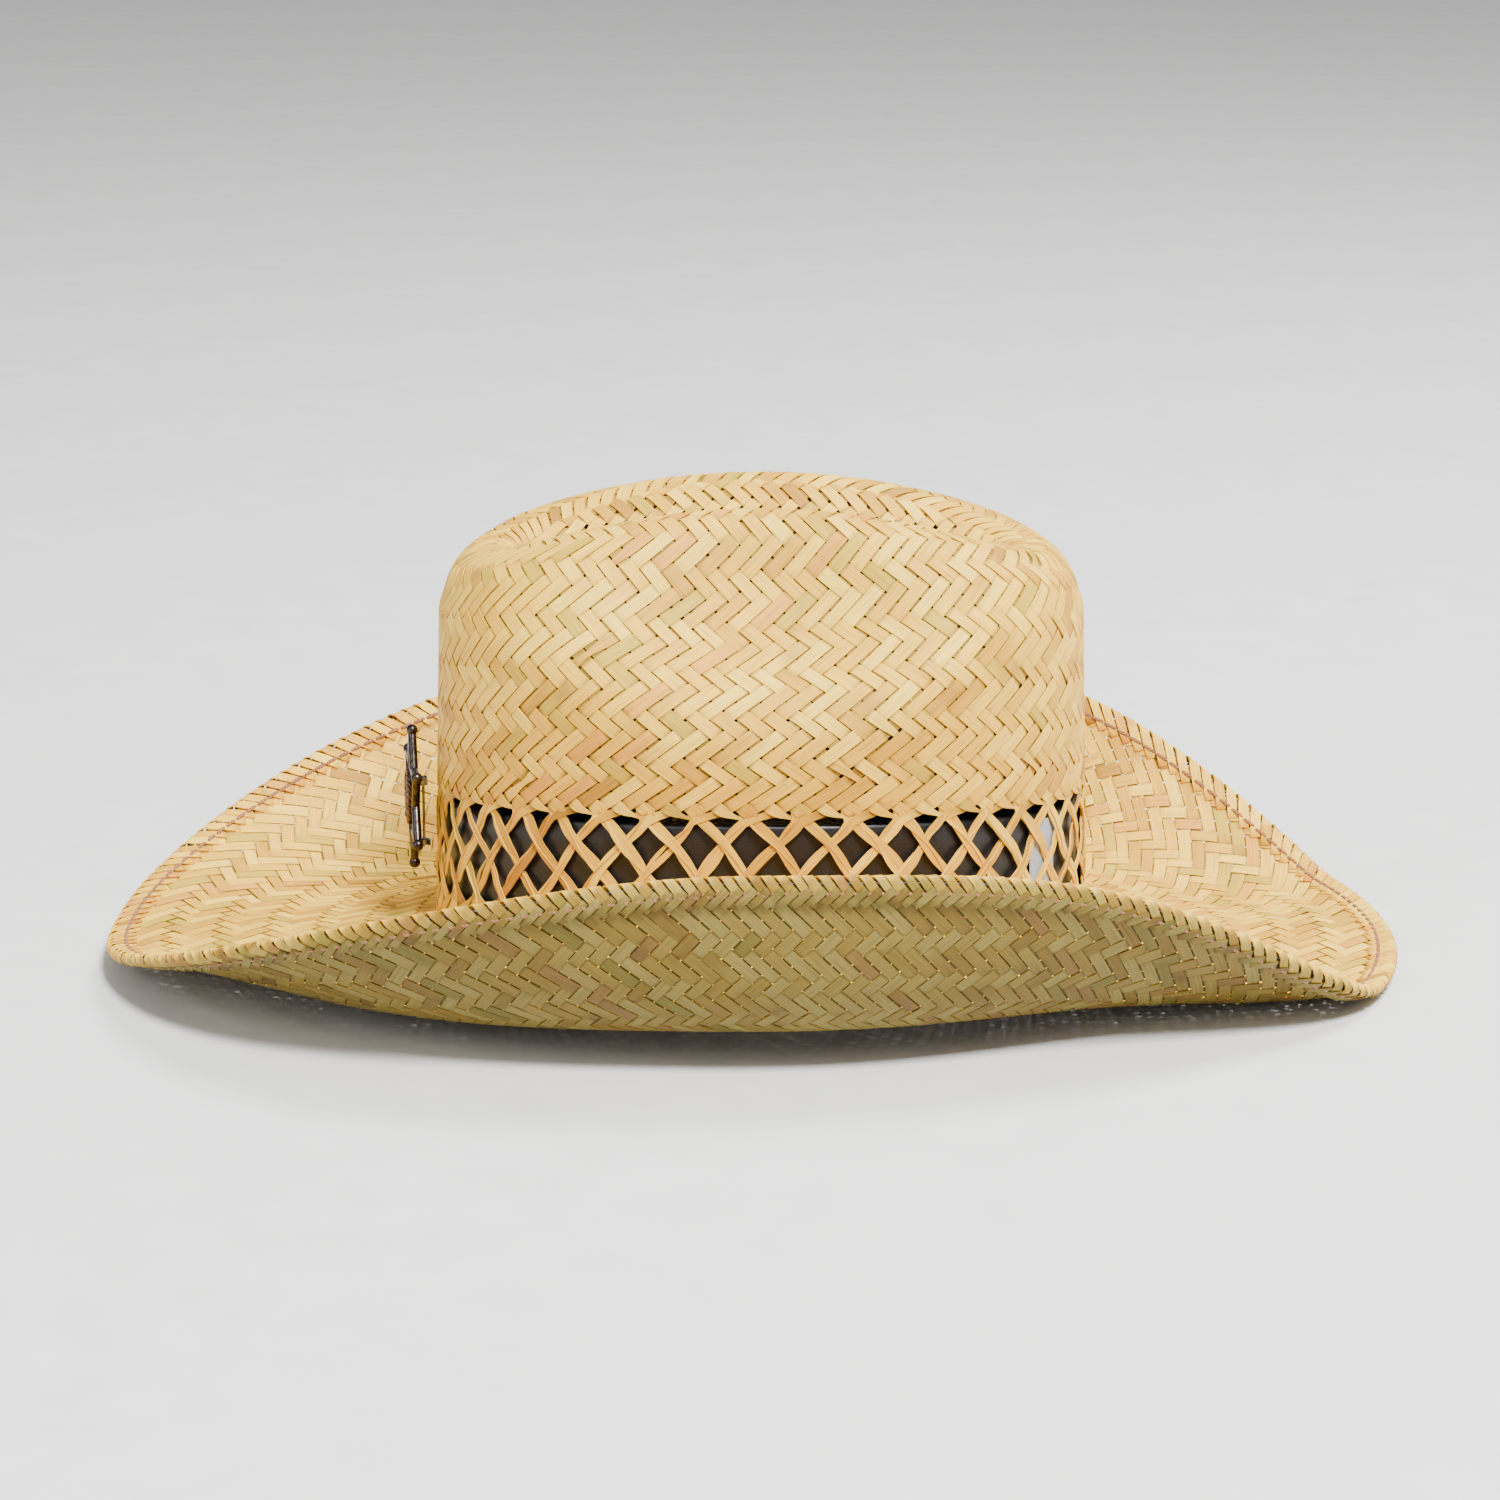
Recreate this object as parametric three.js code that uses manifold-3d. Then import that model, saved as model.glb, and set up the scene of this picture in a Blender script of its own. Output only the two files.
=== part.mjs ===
// A woven straw cowboy hat with a vented crown, a rolled brim, a sweatband and a six-pointed star badge.
// Millimetres, +Z up, the front of the hat towards -Y, the wearer's left side towards -X.
// The straw is one continuous weave on the real hat. It is divided here where the weave changes:
// the close crown, the open vent band, the brim and the turned-under hem.
import * as THREE from 'three';
import { mergeGeometries, mergeVertices } from 'three/addons/utils/BufferGeometryUtils.js';
import ManifoldModule from 'manifold-3d';

// ---- Driving dimensions ----------------------------------------------------------------------

const SEGMENTS = 56;              // steps around the hat, a multiple of four
const STRAW = 1.2;                // thickness of the close weave
const GAP = 0.3;                  // clearance between neighbouring pieces

// Head oval and brim break
const HALF_LENGTH = 102.5;        // front to back, outside of the crown at the brim break
const HALF_WIDTH = 85;            // side to side
const SADDLE = 10;                // how far the brim break rises at the sides

// Crown
const KNEE_TAPER = 2.5;           // the wall leans in by this much up to the knee
const KNEE_SIDE = 64;             // height where the side dent starts
const KNEE_END = 97;              // height where the front and back start to round over
const DENT_REACH = 0.86;          // share of the half length that a side dent takes
const RIDGE_HALF_WIDTH = 30;      // from the middle crease out to a ridge
const RIDGE_HALF_LENGTH = 82;
const RIDGE_TOP = 137;            // height of the ridges at mid length
const RIDGE_FALL = 17;            // how far the ridges drop towards front and back
const RIDGE_POWER = 3.5;          // squareness of the ridge line seen from above
const CREASE_DEPTH = 17;          // depth of the middle crease below the ridges
const SPINE_HALF_LENGTH = 56;     // half length of the bottom of the crease

// Vent band
const VENT_TOP = 44;              // heights above the brim break
const VENT_COUNT = 40;
const VENT_LOW = 11;
const VENT_HIGH = 39;
const VENT_HALF_WIDTH = 4.4;

// Brim
const REACH_FRONT = 103.5;        // horizontal reach of the brim at the front
const REACH_BACK = 98;            // horizontal reach at the back
const REACH_SIDE = 62;            // horizontal reach at the rolled sides
const RIM_SIDE = 55.5;            // height of the rim at the sides
const RIM_FRONT = -5;             // height of the rim at the front
const RIM_BACK = -7;              // height of the rim at the back
const BREAK_SLOPE_SIDE = -38;     // slope of the brim where it leaves the crown, in degrees
const BREAK_SLOPE_END = -9;
const RIM_SLOPE_SIDE = 88;        // slope of the brim at its rim, in degrees
const RIM_SLOPE_END = -8;
const BRIM_START = 1.2;           // the brim starts this far outside the middle of the wall
const START_HANDLE = 43;          // length of the section curve's handle at the crown
const RIM_HANDLE_END = 32;        // length of its handle at the rim, at front and back
const RIM_HANDLE_SIDE = 45;       // and at the sides

// Hem, wire and threads
const HEM_WIDTH = 8;
const HEM_HALF_THICKNESS = 1.9;
const HEM_LEG = 0.7;              // thickness of each leg of the fold
const HEM_CORNER = 1;             // how far in the fold's rounded corners reach, outside
const HEM_INNER_CORNER = 1.2;     // and inside
const WIRE_RADIUS = 0.5;
const WIRE_INSET = 2.1;           // from the rim in to the middle of the wire
const WIRE_OPENING = 1;           // gap between the wire's ends
const FERRULE_LENGTH = 10;
const FERRULE_RADIUS = 1.13;
const FERRULE_BORE = 0.85;        // radius of the ferrule's bore
const THREAD_RADIUS = 0.35;
const HEM_STITCH_INSET = 6;
const HEM_THREAD_LIFT = 0.5;      // clearance between a thread and the hem it lies on

// Sweatband
const BAND_FOOT = 0.5;            // heights above the brim break
const BAND_HEIGHT = 42;
const BAND_STITCH_HEIGHT = 3;
const BAND_THICKNESS = 1.2;
const BAND_INSET = 2.6;           // from the middle of the wall in to the middle of the band
const BAND_BACK_GAP = 0.006;      // half the gap between the band's ends at the back, in radians
const TAPE_HALF_WIDTH = 0.12;     // the strip behind the band's joint, in radians either side
const CLOTH = 0.5;                // thickness of the labels and the tape
const LABEL_ANGLE = 1.02;         // where the size label hangs behind the band, in radians
const LABEL_HALF_WIDTH = 0.075;   // in radians
const LABEL_LOW = 8;              // heights of its lower and upper edges above the brim break
const LABEL_HIGH = 40;
const TAB_ANGLE = 0.85;           // where the seam tab hangs
const TAB_HALF_WIDTH = 0.05;
const TAB_LOW = 4;
const TAB_HIGH = 20;

// Badge
const STAR_RADIUS = 21.6;         // middle of the star out to the middle of a tip ball
const STAR_POINT_RADIUS = 20;
const STAR_VALLEY_RADIUS = 11.5;
const STAR_THICKNESS = 1.8;
const STAR_BALL_RADIUS = 1.8;
const STAR_POINTS = 6;
const BADGE_CENTRE = [0, -109.6, 39];
const BADGE_TURN = 8;             // degrees about the upright axis
const FACE_RADIUS = 8.4;
const PIN_RADIUS = 0.4;
const HINGE_HEIGHT = 5;           // above the middle of the star
const PIN_DEPTH = -3.2;           // middle of the pin behind the middle of the star
const BRACKET_SIZE = 5;
const BRACKET_SHEET = 0.6;        // thickness of the bracket's sheet
const EAR_REACH = 1.6;            // from the middle of the bracket to the middle of an ear
const RIVET_RADIUS = 0.35;
const RIVET_HEAD = 0.8;           // radius of the rivet's heads
const RIVET_HOLE = 0.65;          // radius of the holes that it passes through
const EYE_RADIUS = 1.1;           // outer radius of the pin's eye
const CATCH_HEIGHT = -15;
const CATCH_LENGTH = 1.6;
const CATCH_BORE = 1.35;
const CATCH_WALL = 0.6;
const CATCH_MOUTH = 60;           // half the opening of the catch, in degrees
const FOOT_WIDTH = 2.3;
const FOOT_EDGE = 0.6;            // edge of the catch's foot on the side where the tab turns
const FOOT_THICKNESS = 0.7;
const ROLLER_RADIUS = 1.2;
const ROLLER_WALL = 0.35;
const ROLLER_SLOT = 38;           // half the angle closed off beside the roller's slot, in degrees
const CATCH_TURN = 90;            // degrees that the roller turns to let the pin out

const degrees = THREE.MathUtils.degToRad;
const mix = THREE.MathUtils.lerp;
const smooth = THREE.MathUtils.smoothstep;
const wasm = await ManifoldModule();
wasm.setup();

// ---- Shape of the hat -----------------------------------------------------------------------

/** Outward direction of the head oval at an angle about the hat. */
function outward(angle) {
  const direction = new THREE.Vector2(Math.cos(angle) / HALF_WIDTH, Math.sin(angle) / HALF_LENGTH);
  return direction.normalize();
}

/** Height of the brim break, which rises at the sides. */
function breakHeight(angle) {
  return SADDLE * outward(angle).x ** 2;
}

/** Point on a cubic Bezier curve through four [a, b] pairs. */
function bezier(points, t) {
  const k = 1 - t;
  const weights = [k ** 3, 3 * k * k * t, 3 * k * t * t, t ** 3];
  return [0, 1].map((axis) => points.reduce((sum, point, i) => sum + weights[i] * point[axis], 0));
}

/** The four control points of the brim's section: distance out from the crown, and height. */
function brimSection(angle) {
  const out = outward(angle);
  const side = Math.abs(out.x);
  const front = out.y < 0;
  const roll = front ? side ** 1.8 : mix(side ** 2, smooth(side, 0.33, 1), 0.8);
  const tuck = front
    ? mix(side ** 6, smooth(side, 0.1, 0.9), 0.25)
    : mix(side ** 3, smooth(side, 0.4, 1), 0.6);
  const rim = [
    mix(front ? REACH_FRONT : REACH_BACK, REACH_SIDE, tuck),
    mix(front ? RIM_FRONT : RIM_BACK, RIM_SIDE, roll),
  ];
  const start = degrees(mix(BREAK_SLOPE_END, BREAK_SLOPE_SIDE, side ** 1.2));
  const finish = degrees(mix(RIM_SLOPE_END, RIM_SLOPE_SIDE, side ** 1.5));
  const rimHandle = mix(RIM_HANDLE_END, RIM_HANDLE_SIDE, side ** 2);
  const first = [BRIM_START, breakHeight(angle)];
  return [
    first,
    [first[0] + START_HANDLE * Math.cos(start), first[1] + START_HANDLE * Math.sin(start)],
    [rim[0] - rimHandle * Math.cos(finish), rim[1] - rimHandle * Math.sin(finish)],
    rim,
  ];
}

/** Samples of the brim's section with the length run so far. */
function brimSamples(angle) {
  const points = brimSection(angle);
  const steps = 32;
  const samples = [];
  let run = 0;
  let last = points[0];
  for (let i = 0; i <= steps; i += 1) {
    const point = bezier(points, i / steps);
    run += Math.hypot(point[0] - last[0], point[1] - last[1]);
    samples.push({ run, point });
    last = point;
  }
  return samples;
}

/** Point beside the brim: a distance in from the rim (or share of the width) and an offset upwards. */
function brimPoint(angle, { inset = null, share = 0 }, lift) {
  const samples = brimSamples(angle);
  const width = samples.at(-1).run;
  const run = inset === null ? share * width : width - inset;
  let i = samples.findIndex((sample) => sample.run >= run);
  i = Math.max(1, i < 0 ? samples.length - 1 : i);
  const a = samples[i - 1];
  const b = samples[i];
  const t = (run - a.run) / (b.run - a.run);
  const along = [b.point[0] - a.point[0], b.point[1] - a.point[1]];
  const length = Math.hypot(...along);
  const reach = mix(a.point[0], b.point[0], t) - (lift * along[1]) / length;
  const height = mix(a.point[1], b.point[1], t) + (lift * along[0]) / length;
  const out = outward(angle);
  return new THREE.Vector3(
    HALF_WIDTH * Math.cos(angle) + out.x * reach,
    HALF_LENGTH * Math.sin(angle) + out.y * reach,
    height,
  );
}

/** How strongly a side dent acts at an angle: one at mid length, nothing at front and back. */
function dent(angle) {
  const along = Math.sin(angle) / DENT_REACH;
  return Math.abs(along) >= 1 ? 0 : (1 - along * along) ** 1.5;
}

/** Point of the ridge line around the crown's top. */
function ridgePoint(angle) {
  const y = RIDGE_HALF_LENGTH * Math.sin(angle);
  const x = Math.sign(Math.cos(angle)) * RIDGE_HALF_WIDTH
    * Math.sqrt(Math.max(0, 1 - Math.abs(Math.sin(angle)) ** RIDGE_POWER));
  return new THREE.Vector3(x, y, RIDGE_TOP - RIDGE_FALL * Math.sin(angle) ** 2);
}

/** Point of the crown's wall: a height above the brim break, up to the knee, at a depth inwards. */
function wallPoint(angle, height, inset) {
  const out = outward(angle);
  const lean = (KNEE_TAPER * height) / KNEE_END + inset;
  return new THREE.Vector3(
    HALF_WIDTH * Math.cos(angle) - out.x * lean,
    HALF_LENGTH * Math.sin(angle) - out.y * lean,
    breakHeight(angle) + height,
  );
}

/** Point of the crown above the knee: 0 to 1 along the dent, 1 to 2 over the shoulder to the ridge. */
function shoulderPoint(angle, travel, inset) {
  const d = dent(angle);
  const knee = mix(KNEE_END, KNEE_SIDE, d) - breakHeight(angle);
  const foot = wallPoint(angle, knee, inset);
  const ridge = ridgePoint(angle);
  const top = ridge.z - inset;
  const middle = [mix(0.16, 0.78, d), mix(top - 10, top - 17, d)];
  const profile = travel <= 1
    ? [[0, foot.z], [0, mix(foot.z + 7, foot.z + 30, d)],
      [mix(0.03, 0.52, d), mix(middle[1] - 8, middle[1] - 27, d)], middle]
    : [middle, [mix(0.32, 0.87, d), mix(middle[1] + 8, middle[1] + 11, d)],
      [mix(0.7, 0.93, d), top], [1, top]];
  const [share, height] = bezier(profile, travel <= 1 ? travel : travel - 1);
  return new THREE.Vector3(mix(foot.x, ridge.x, share), mix(foot.y, ridge.y, share), height);
}

/** Point of the crown's top: 0 at the ridge, 1 at the bottom of the middle crease. */
function creasePoint(angle, share, inset) {
  const ridge = ridgePoint(angle);
  const y = mix(ridge.y, SPINE_HALF_LENGTH * Math.sin(angle), share);
  const drop = CREASE_DEPTH * share * share * (3 - 2 * share);
  return new THREE.Vector3(ridge.x * (1 - share), y, ridge.z - inset - drop);
}

// ---- Mesh helpers ---------------------------------------------------------------------------

/** Geometry from points and triangles, with doubled points welded and flat triangles dropped. */
function solid(points, triangles) {
  const geometry = new THREE.BufferGeometry();
  const numbers = points.flatMap((point) => point.toArray());
  geometry.setAttribute('position', new THREE.Float32BufferAttribute(numbers, 3));
  geometry.setIndex(triangles.flat());
  const welded = mergeVertices(geometry, 1e-4);
  const index = Array.from(welded.index.array);
  const kept = [];
  for (let i = 0; i < index.length; i += 3) {
    const [a, b, c] = index.slice(i, i + 3);
    if (a !== b && b !== c && c !== a) {
      kept.push(a, b, c);
    }
  }
  welded.setIndex(kept);
  welded.computeVertexNormals();
  return welded;
}

/** Rows of points joined into a skin, each row closed on itself. */
function skin(rows, flip = false) {
  const count = rows[0].length;
  const triangles = [];
  for (let r = 0; r + 1 < rows.length; r += 1) {
    for (let i = 0; i < count; i += 1) {
      const j = (i + 1) % count;
      const [a, b, c, d] = [r * count + i, r * count + j, (r + 1) * count + j, (r + 1) * count + i];
      triangles.push(flip ? [a, c, b] : [a, b, c], flip ? [a, d, c] : [a, c, d]);
    }
  }
  return { points: rows.flat(), triangles };
}

/** One row of points around the hat. */
function around(pointAt) {
  return Array.from({ length: SEGMENTS }, (_, i) => pointAt((i / SEGMENTS) * Math.PI * 2));
}

/** A closed ring whose section is a loop of point functions, listed anticlockwise seen along the ring. */
function ring(section) {
  const rows = [...section, section[0]].map(around);
  const { points, triangles } = skin(rows);
  return solid(points, triangles);
}

/** A bar whose section is a loop of point functions, run from one angle to another and capped. */
function arcBar(section, from, to, steps) {
  const count = section.length;
  const points = [];
  const triangles = [];
  for (let i = 0; i <= steps; i += 1) {
    section.forEach((pointAt) => points.push(pointAt(mix(from, to, i / steps))));
  }
  for (let i = 0; i < steps; i += 1) {
    for (let k = 0; k < count; k += 1) {
      const next = (k + 1) % count;
      const [a, b] = [i * count + k, i * count + next];
      triangles.push([a, a + count, b + count], [a, b + count, b]);
    }
  }
  for (let k = 1; k + 1 < count; k += 1) {
    triangles.push([0, k, k + 1], [steps * count, steps * count + k + 1, steps * count + k]);
  }
  return solid(points, triangles);
}

/** Section of a round bar about a place on the brim. */
function brimRound(inset, lift, radius, sides = 4) {
  return Array.from({ length: sides }, (_, i) => {
    const turn = (i / sides) * Math.PI * 2;
    const place = { inset: inset - radius * Math.cos(turn) };
    return (angle) => brimPoint(angle, place, lift + radius * Math.sin(turn));
  });
}

/** A named mesh in its own material. */
function piece(name, geometry, color, roughness, metalness = 0) {
  const material = new THREE.MeshStandardMaterial({ color, roughness, metalness });
  const mesh = new THREE.Mesh(geometry, material);
  mesh.name = name;
  return mesh;
}

/** Joins or cuts two closed geometries. */
function combine(first, second, how) {
  const toManifold = (geometry) => {
    const plain = new THREE.BufferGeometry();
    plain.setAttribute('position', geometry.getAttribute('position').clone());
    plain.setIndex(geometry.index ? geometry.index.clone() : null);
    const welded = mergeVertices(plain, 1e-4);
    return new wasm.Manifold(new wasm.Mesh({
      numProp: 3,
      vertProperties: Float32Array.from(welded.getAttribute('position').array),
      triVerts: Uint32Array.from(welded.index.array),
    }));
  };
  const mesh = toManifold(first)[how](toManifold(second)).getMesh();
  const result = new THREE.BufferGeometry();
  result.setAttribute('position', new THREE.BufferAttribute(Float32Array.from(mesh.vertProperties), 3));
  result.setIndex(Array.from(mesh.triVerts));
  result.computeVertexNormals();
  return result;
}

// ---- Straw body -----------------------------------------------------------------------------

/** The close-woven crown: wall, side dents, ridges and middle crease, open below. */
function crownGeometry() {
  const wallSteps = 2;
  const shoulderSteps = 10;
  const creaseSteps = 3;
  const levels = [];
  for (let i = 0; i < wallSteps; i += 1) {
    levels.push((angle, inset) => {
      const knee = mix(KNEE_END, KNEE_SIDE, dent(angle)) - breakHeight(angle);
      return wallPoint(angle, mix(VENT_TOP + GAP, knee, i / wallSteps), inset);
    });
  }
  for (let i = 0; i < shoulderSteps; i += 1) {
    levels.push((angle, inset) => shoulderPoint(angle, (2 * i) / shoulderSteps, inset));
  }
  for (let i = 0; i <= creaseSteps; i += 1) {
    levels.push((angle, inset) => creasePoint(angle, i / creaseSteps, inset));
  }
  const outer = levels.map((level) => around((angle) => level(angle, -STRAW / 2)));
  const inner = levels.map((level) => around((angle) => level(angle, STRAW / 2)));
  const { points, triangles } = skin([...inner.reverse(), ...outer]);
  return solid(points, triangles);
}

/** The vent band: an upright ring with a row of six-sided openings. */
function ventGeometry() {
  const perimeter = 2 * Math.PI * Math.sqrt((HALF_LENGTH ** 2 + HALF_WIDTH ** 2) / 2);
  const halfCell = perimeter / VENT_COUNT / 2;
  const corners = [[-1, 0], [-1, 1], [0, 1], [1, 1], [1, 0], [1, -1], [0, -1], [-1, -1]];
  const middle = (VENT_LOW + VENT_HIGH) / 2;
  const cellHeight = (high) => (high > 0 ? VENT_TOP : high < 0 ? 0 : middle);
  const holeHeight = (high, across) => {
    const half = (VENT_HIGH - VENT_LOW) / 2;
    return middle + high * (across === 0 ? half : half * 0.55);
  };
  const points = [];
  const triangles = [];
  for (let cell = 0; cell < VENT_COUNT; cell += 1) {
    const at = (across, height, inset) => {
      const angle = ((cell + 0.5 + across / 2) / VENT_COUNT) * Math.PI * 2;
      return wallPoint(angle, height, inset);
    };
    const base = points.length;
    [-STRAW / 2, STRAW / 2].forEach((inset) => {
      corners.forEach(([across, high]) => points.push(at(across, cellHeight(high), inset)));
      corners.forEach(([across, high]) => {
        const narrow = VENT_HALF_WIDTH / halfCell;
        points.push(at(across * narrow, high === 0 ? middle : holeHeight(high, across), inset));
      });
    });
    for (let k = 0; k < 8; k += 1) {
      const n = (k + 1) % 8;
      const [o, oh, i, ih] = [base + k, base + 8 + k, base + 16 + k, base + 24 + k];
      const [p, ph, j, jh] = [base + n, base + 8 + n, base + 16 + n, base + 24 + n];
      triangles.push([o, ph, p], [o, oh, ph], [i, j, jh], [i, jh, ih], [oh, jh, ph], [oh, ih, jh]);
      if (k === 1 || k === 2 || k === 5 || k === 6) {
        triangles.push([o, p, j], [o, j, i]);
      }
    }
  }
  return solid(points, triangles);
}

/** The brim from the crown out into the fold of the hem. */
function brimGeometry() {
  const steps = 8;
  const half = STRAW / 2;
  const place = (share) => (angle) => {
    const width = brimSamples(angle).at(-1).run;
    return { inset: mix(width, WIRE_INSET + WIRE_RADIUS + 1, share) };
  };
  const shares = Array.from({ length: steps + 1 }, (_, i) => i / steps);
  const upper = shares.map((share) => (angle) => brimPoint(angle, place(share)(angle), half));
  const lower = shares.map((share) => (angle) => brimPoint(angle, place(share)(angle), -half));
  return ring([...lower, ...upper.reverse()]);
}

/** The hem: a fold that closes around the brim's edge and the wire. */
function hemGeometry() {
  const outer = HEM_HALF_THICKNESS;
  const inner = HEM_HALF_THICKNESS - HEM_LEG;
  const at = (inset, lift) => (angle) => brimPoint(angle, { inset }, lift);
  return ring([
    at(HEM_WIDTH, -outer),
    at(HEM_CORNER, -outer),
    at(0, -outer / 2),
    at(0, outer / 2),
    at(HEM_CORNER, outer),
    at(HEM_WIDTH, outer),
    at(HEM_WIDTH, inner),
    at(HEM_INNER_CORNER, inner),
    at(HEM_LEG, inner / 2),
    at(HEM_LEG, -inner / 2),
    at(HEM_INNER_CORNER, -inner),
    at(HEM_WIDTH, -inner),
  ]);
}

/** Angle at the back of the hat. */
const BACK = Math.PI / 2;

/** The brim wire, open at the back where the ferrule joins its ends. */
function wireGeometry() {
  const opening = WIRE_OPENING / 2 / (HALF_LENGTH + REACH_BACK);
  const bar = brimRound(WIRE_INSET, 0, WIRE_RADIUS);
  return arcBar(bar, BACK + opening, BACK + Math.PI * 2 - opening, SEGMENTS);
}

/** The ferrule: a short tube over the wire's two ends. */
function ferruleGeometry() {
  const half = FERRULE_LENGTH / 2 / (HALF_LENGTH + REACH_BACK);
  const outer = arcBar(brimRound(WIRE_INSET, 0, FERRULE_RADIUS, 12), BACK - half, BACK + half, 4);
  const bore = arcBar(brimRound(WIRE_INSET, 0, FERRULE_BORE, 12), BACK - half * 1.2, BACK + half * 1.2, 4);
  return combine(outer, bore, 'subtract');
}

/** A sewing thread laid along the hem, above it or below it. */
function hemThreadGeometry(side) {
  const lift = HEM_HALF_THICKNESS + THREAD_RADIUS + HEM_THREAD_LIFT;
  return ring(brimRound(HEM_STITCH_INSET, side * lift, THREAD_RADIUS));
}

// ---- Sweatband ------------------------------------------------------------------------------

/** An upright strip inside the crown between two angles, two heights and two depths. */
function stripGeometry(from, to, low, high, near, far, steps) {
  const at = (height, inset) => (angle) => wallPoint(angle, height, inset);
  return arcBar([at(low, near), at(high, near), at(high, far), at(low, far)], from, to, steps);
}

/** The sweatband: one strip bent round inside the crown, its ends meeting at the back. */
function bandGeometry() {
  const [near, far] = [BAND_INSET - BAND_THICKNESS / 2, BAND_INSET + BAND_THICKNESS / 2];
  const [from, to] = [BACK + BAND_BACK_GAP, BACK + Math.PI * 2 - BAND_BACK_GAP];
  return stripGeometry(from, to, BAND_FOOT, BAND_HEIGHT, near, far, SEGMENTS);
}

/** The thread that sews the sweatband to the straw, around the foot of the band. */
function bandThreadGeometry() {
  const inset = BAND_INSET + BAND_THICKNESS / 2 + THREAD_RADIUS + GAP / 2;
  const sides = 4;
  const loop = Array.from({ length: sides }, (_, i) => {
    const turn = (i / sides) * Math.PI * 2;
    const height = BAND_STITCH_HEIGHT + THREAD_RADIUS * Math.sin(turn);
    return (angle) => wallPoint(angle, height, inset - THREAD_RADIUS * Math.cos(turn));
  });
  return ring(loop);
}

/** A small cloth label or strip that hangs between the straw and the sweatband. */
function labelGeometry(middle, halfWidth, low, high) {
  const near = STRAW / 2 + GAP;
  return stripGeometry(middle - halfWidth, middle + halfWidth, low, high, near, near + CLOTH, 6);
}

// ---- Badge ----------------------------------------------------------------------------------
// The badge is drawn flat: x across, y up, z out of its face.

/** Outline of the star. */
function starShape() {
  const shape = new THREE.Shape();
  for (let i = 0; i < STAR_POINTS * 2; i += 1) {
    const radius = i % 2 ? STAR_VALLEY_RADIUS : STAR_POINT_RADIUS;
    const angle = Math.PI / 2 + (i / STAR_POINTS) * Math.PI;
    const [x, y] = [radius * Math.cos(angle), radius * Math.sin(angle)];
    if (i === 0) {
      shape.moveTo(x, y);
    } else {
      shape.lineTo(x, y);
    }
  }
  shape.closePath();
  return shape;
}

/** The cast star with a ball on each point. */
function starGeometry() {
  const bevel = 0.4;
  let star = new THREE.ExtrudeGeometry(starShape(), {
    depth: STAR_THICKNESS - 2 * bevel,
    bevelThickness: bevel,
    bevelSize: bevel,
    bevelOffset: -bevel,
    bevelSegments: 1,
  });
  star.translate(0, 0, bevel - STAR_THICKNESS / 2);
  for (let i = 0; i < STAR_POINTS; i += 1) {
    const angle = Math.PI / 2 + (i / STAR_POINTS) * Math.PI * 2;
    const ball = new THREE.SphereGeometry(STAR_BALL_RADIUS, 8, 6);
    ball.translate(STAR_RADIUS * Math.cos(angle), STAR_RADIUS * Math.sin(angle), 0);
    star = combine(star, ball, 'add');
  }
  return star;
}

/** The domed disc on the star's face, turned on a lathe with a raised edge. */
function faceGeometry() {
  const profile = [
    [0, 0],
    [FACE_RADIUS, 0],
    [FACE_RADIUS, 1],
    [FACE_RADIUS - 0.9, 1.5],
    [FACE_RADIUS - 1.8, 1],
    [4, 1.4],
    [0, 1.7],
  ].map(([radius, height]) => new THREE.Vector2(radius, height));
  const face = new THREE.LatheGeometry(profile, 24);
  face.rotateX(Math.PI / 2);
  face.translate(0, 0, STAR_THICKNESS / 2 + GAP);
  return face;
}

/** The hinge bracket: a foot plate with two ears behind the star. */
function hingeBracketGeometry() {
  const back = -STAR_THICKNESS / 2 - GAP;
  const plate = new THREE.BoxGeometry(BRACKET_SIZE, BRACKET_SIZE, BRACKET_SHEET);
  plate.translate(0, HINGE_HEIGHT, back - BRACKET_SHEET / 2);
  let bracket = plate;
  [-1, 1].forEach((side) => {
    const depth = back - PIN_DEPTH + 1.2;
    const ear = new THREE.BoxGeometry(BRACKET_SHEET, 2.2, depth);
    ear.translate(side * EAR_REACH, HINGE_HEIGHT, back - depth / 2 - 0.1);
    bracket = combine(bracket, ear, 'add');
  });
  const hole = new THREE.CylinderGeometry(RIVET_HOLE, RIVET_HOLE, 8, 12);
  hole.rotateZ(Math.PI / 2);
  hole.translate(0, HINGE_HEIGHT, PIN_DEPTH);
  return combine(bracket, hole, 'subtract');
}

/** The rivet that the pin turns on, with a head at each end. */
function rivetGeometry() {
  const half = [[RIVET_RADIUS, 2.15], [RIVET_HEAD, 2.15], [RIVET_HEAD, 2.5], [0, 2.5]];
  const otherHalf = half.map(([radius, along]) => [radius, -along]).reverse();
  const profile = [...otherHalf, ...half].map(([radius, along]) => new THREE.Vector2(radius, along));
  const rivet = new THREE.LatheGeometry(profile, 12);
  rivet.rotateZ(Math.PI / 2);
  rivet.translate(0, HINGE_HEIGHT, PIN_DEPTH);
  return rivet;
}

/** The pin: an eye on the rivet and a straight stem with a point. */
function pinGeometry() {
  const eye = new THREE.CylinderGeometry(EYE_RADIUS, EYE_RADIUS, 1.4, 16);
  const bore = new THREE.CylinderGeometry(RIVET_HOLE, RIVET_HOLE, 3, 12);
  const ringEye = combine(eye, bore, 'subtract');
  ringEye.rotateZ(Math.PI / 2);
  const tip = CATCH_HEIGHT - HINGE_HEIGHT - 2.5;
  const profile = [[0, tip], [PIN_RADIUS, tip + 3], [PIN_RADIUS, -0.8], [0, -0.8]]
    .map(([radius, along]) => new THREE.Vector2(radius, along));
  const stem = new THREE.LatheGeometry(profile, 10);
  const pin = combine(ringEye, stem, 'add');
  pin.translate(0, HINGE_HEIGHT, PIN_DEPTH);
  return pin;
}

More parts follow.
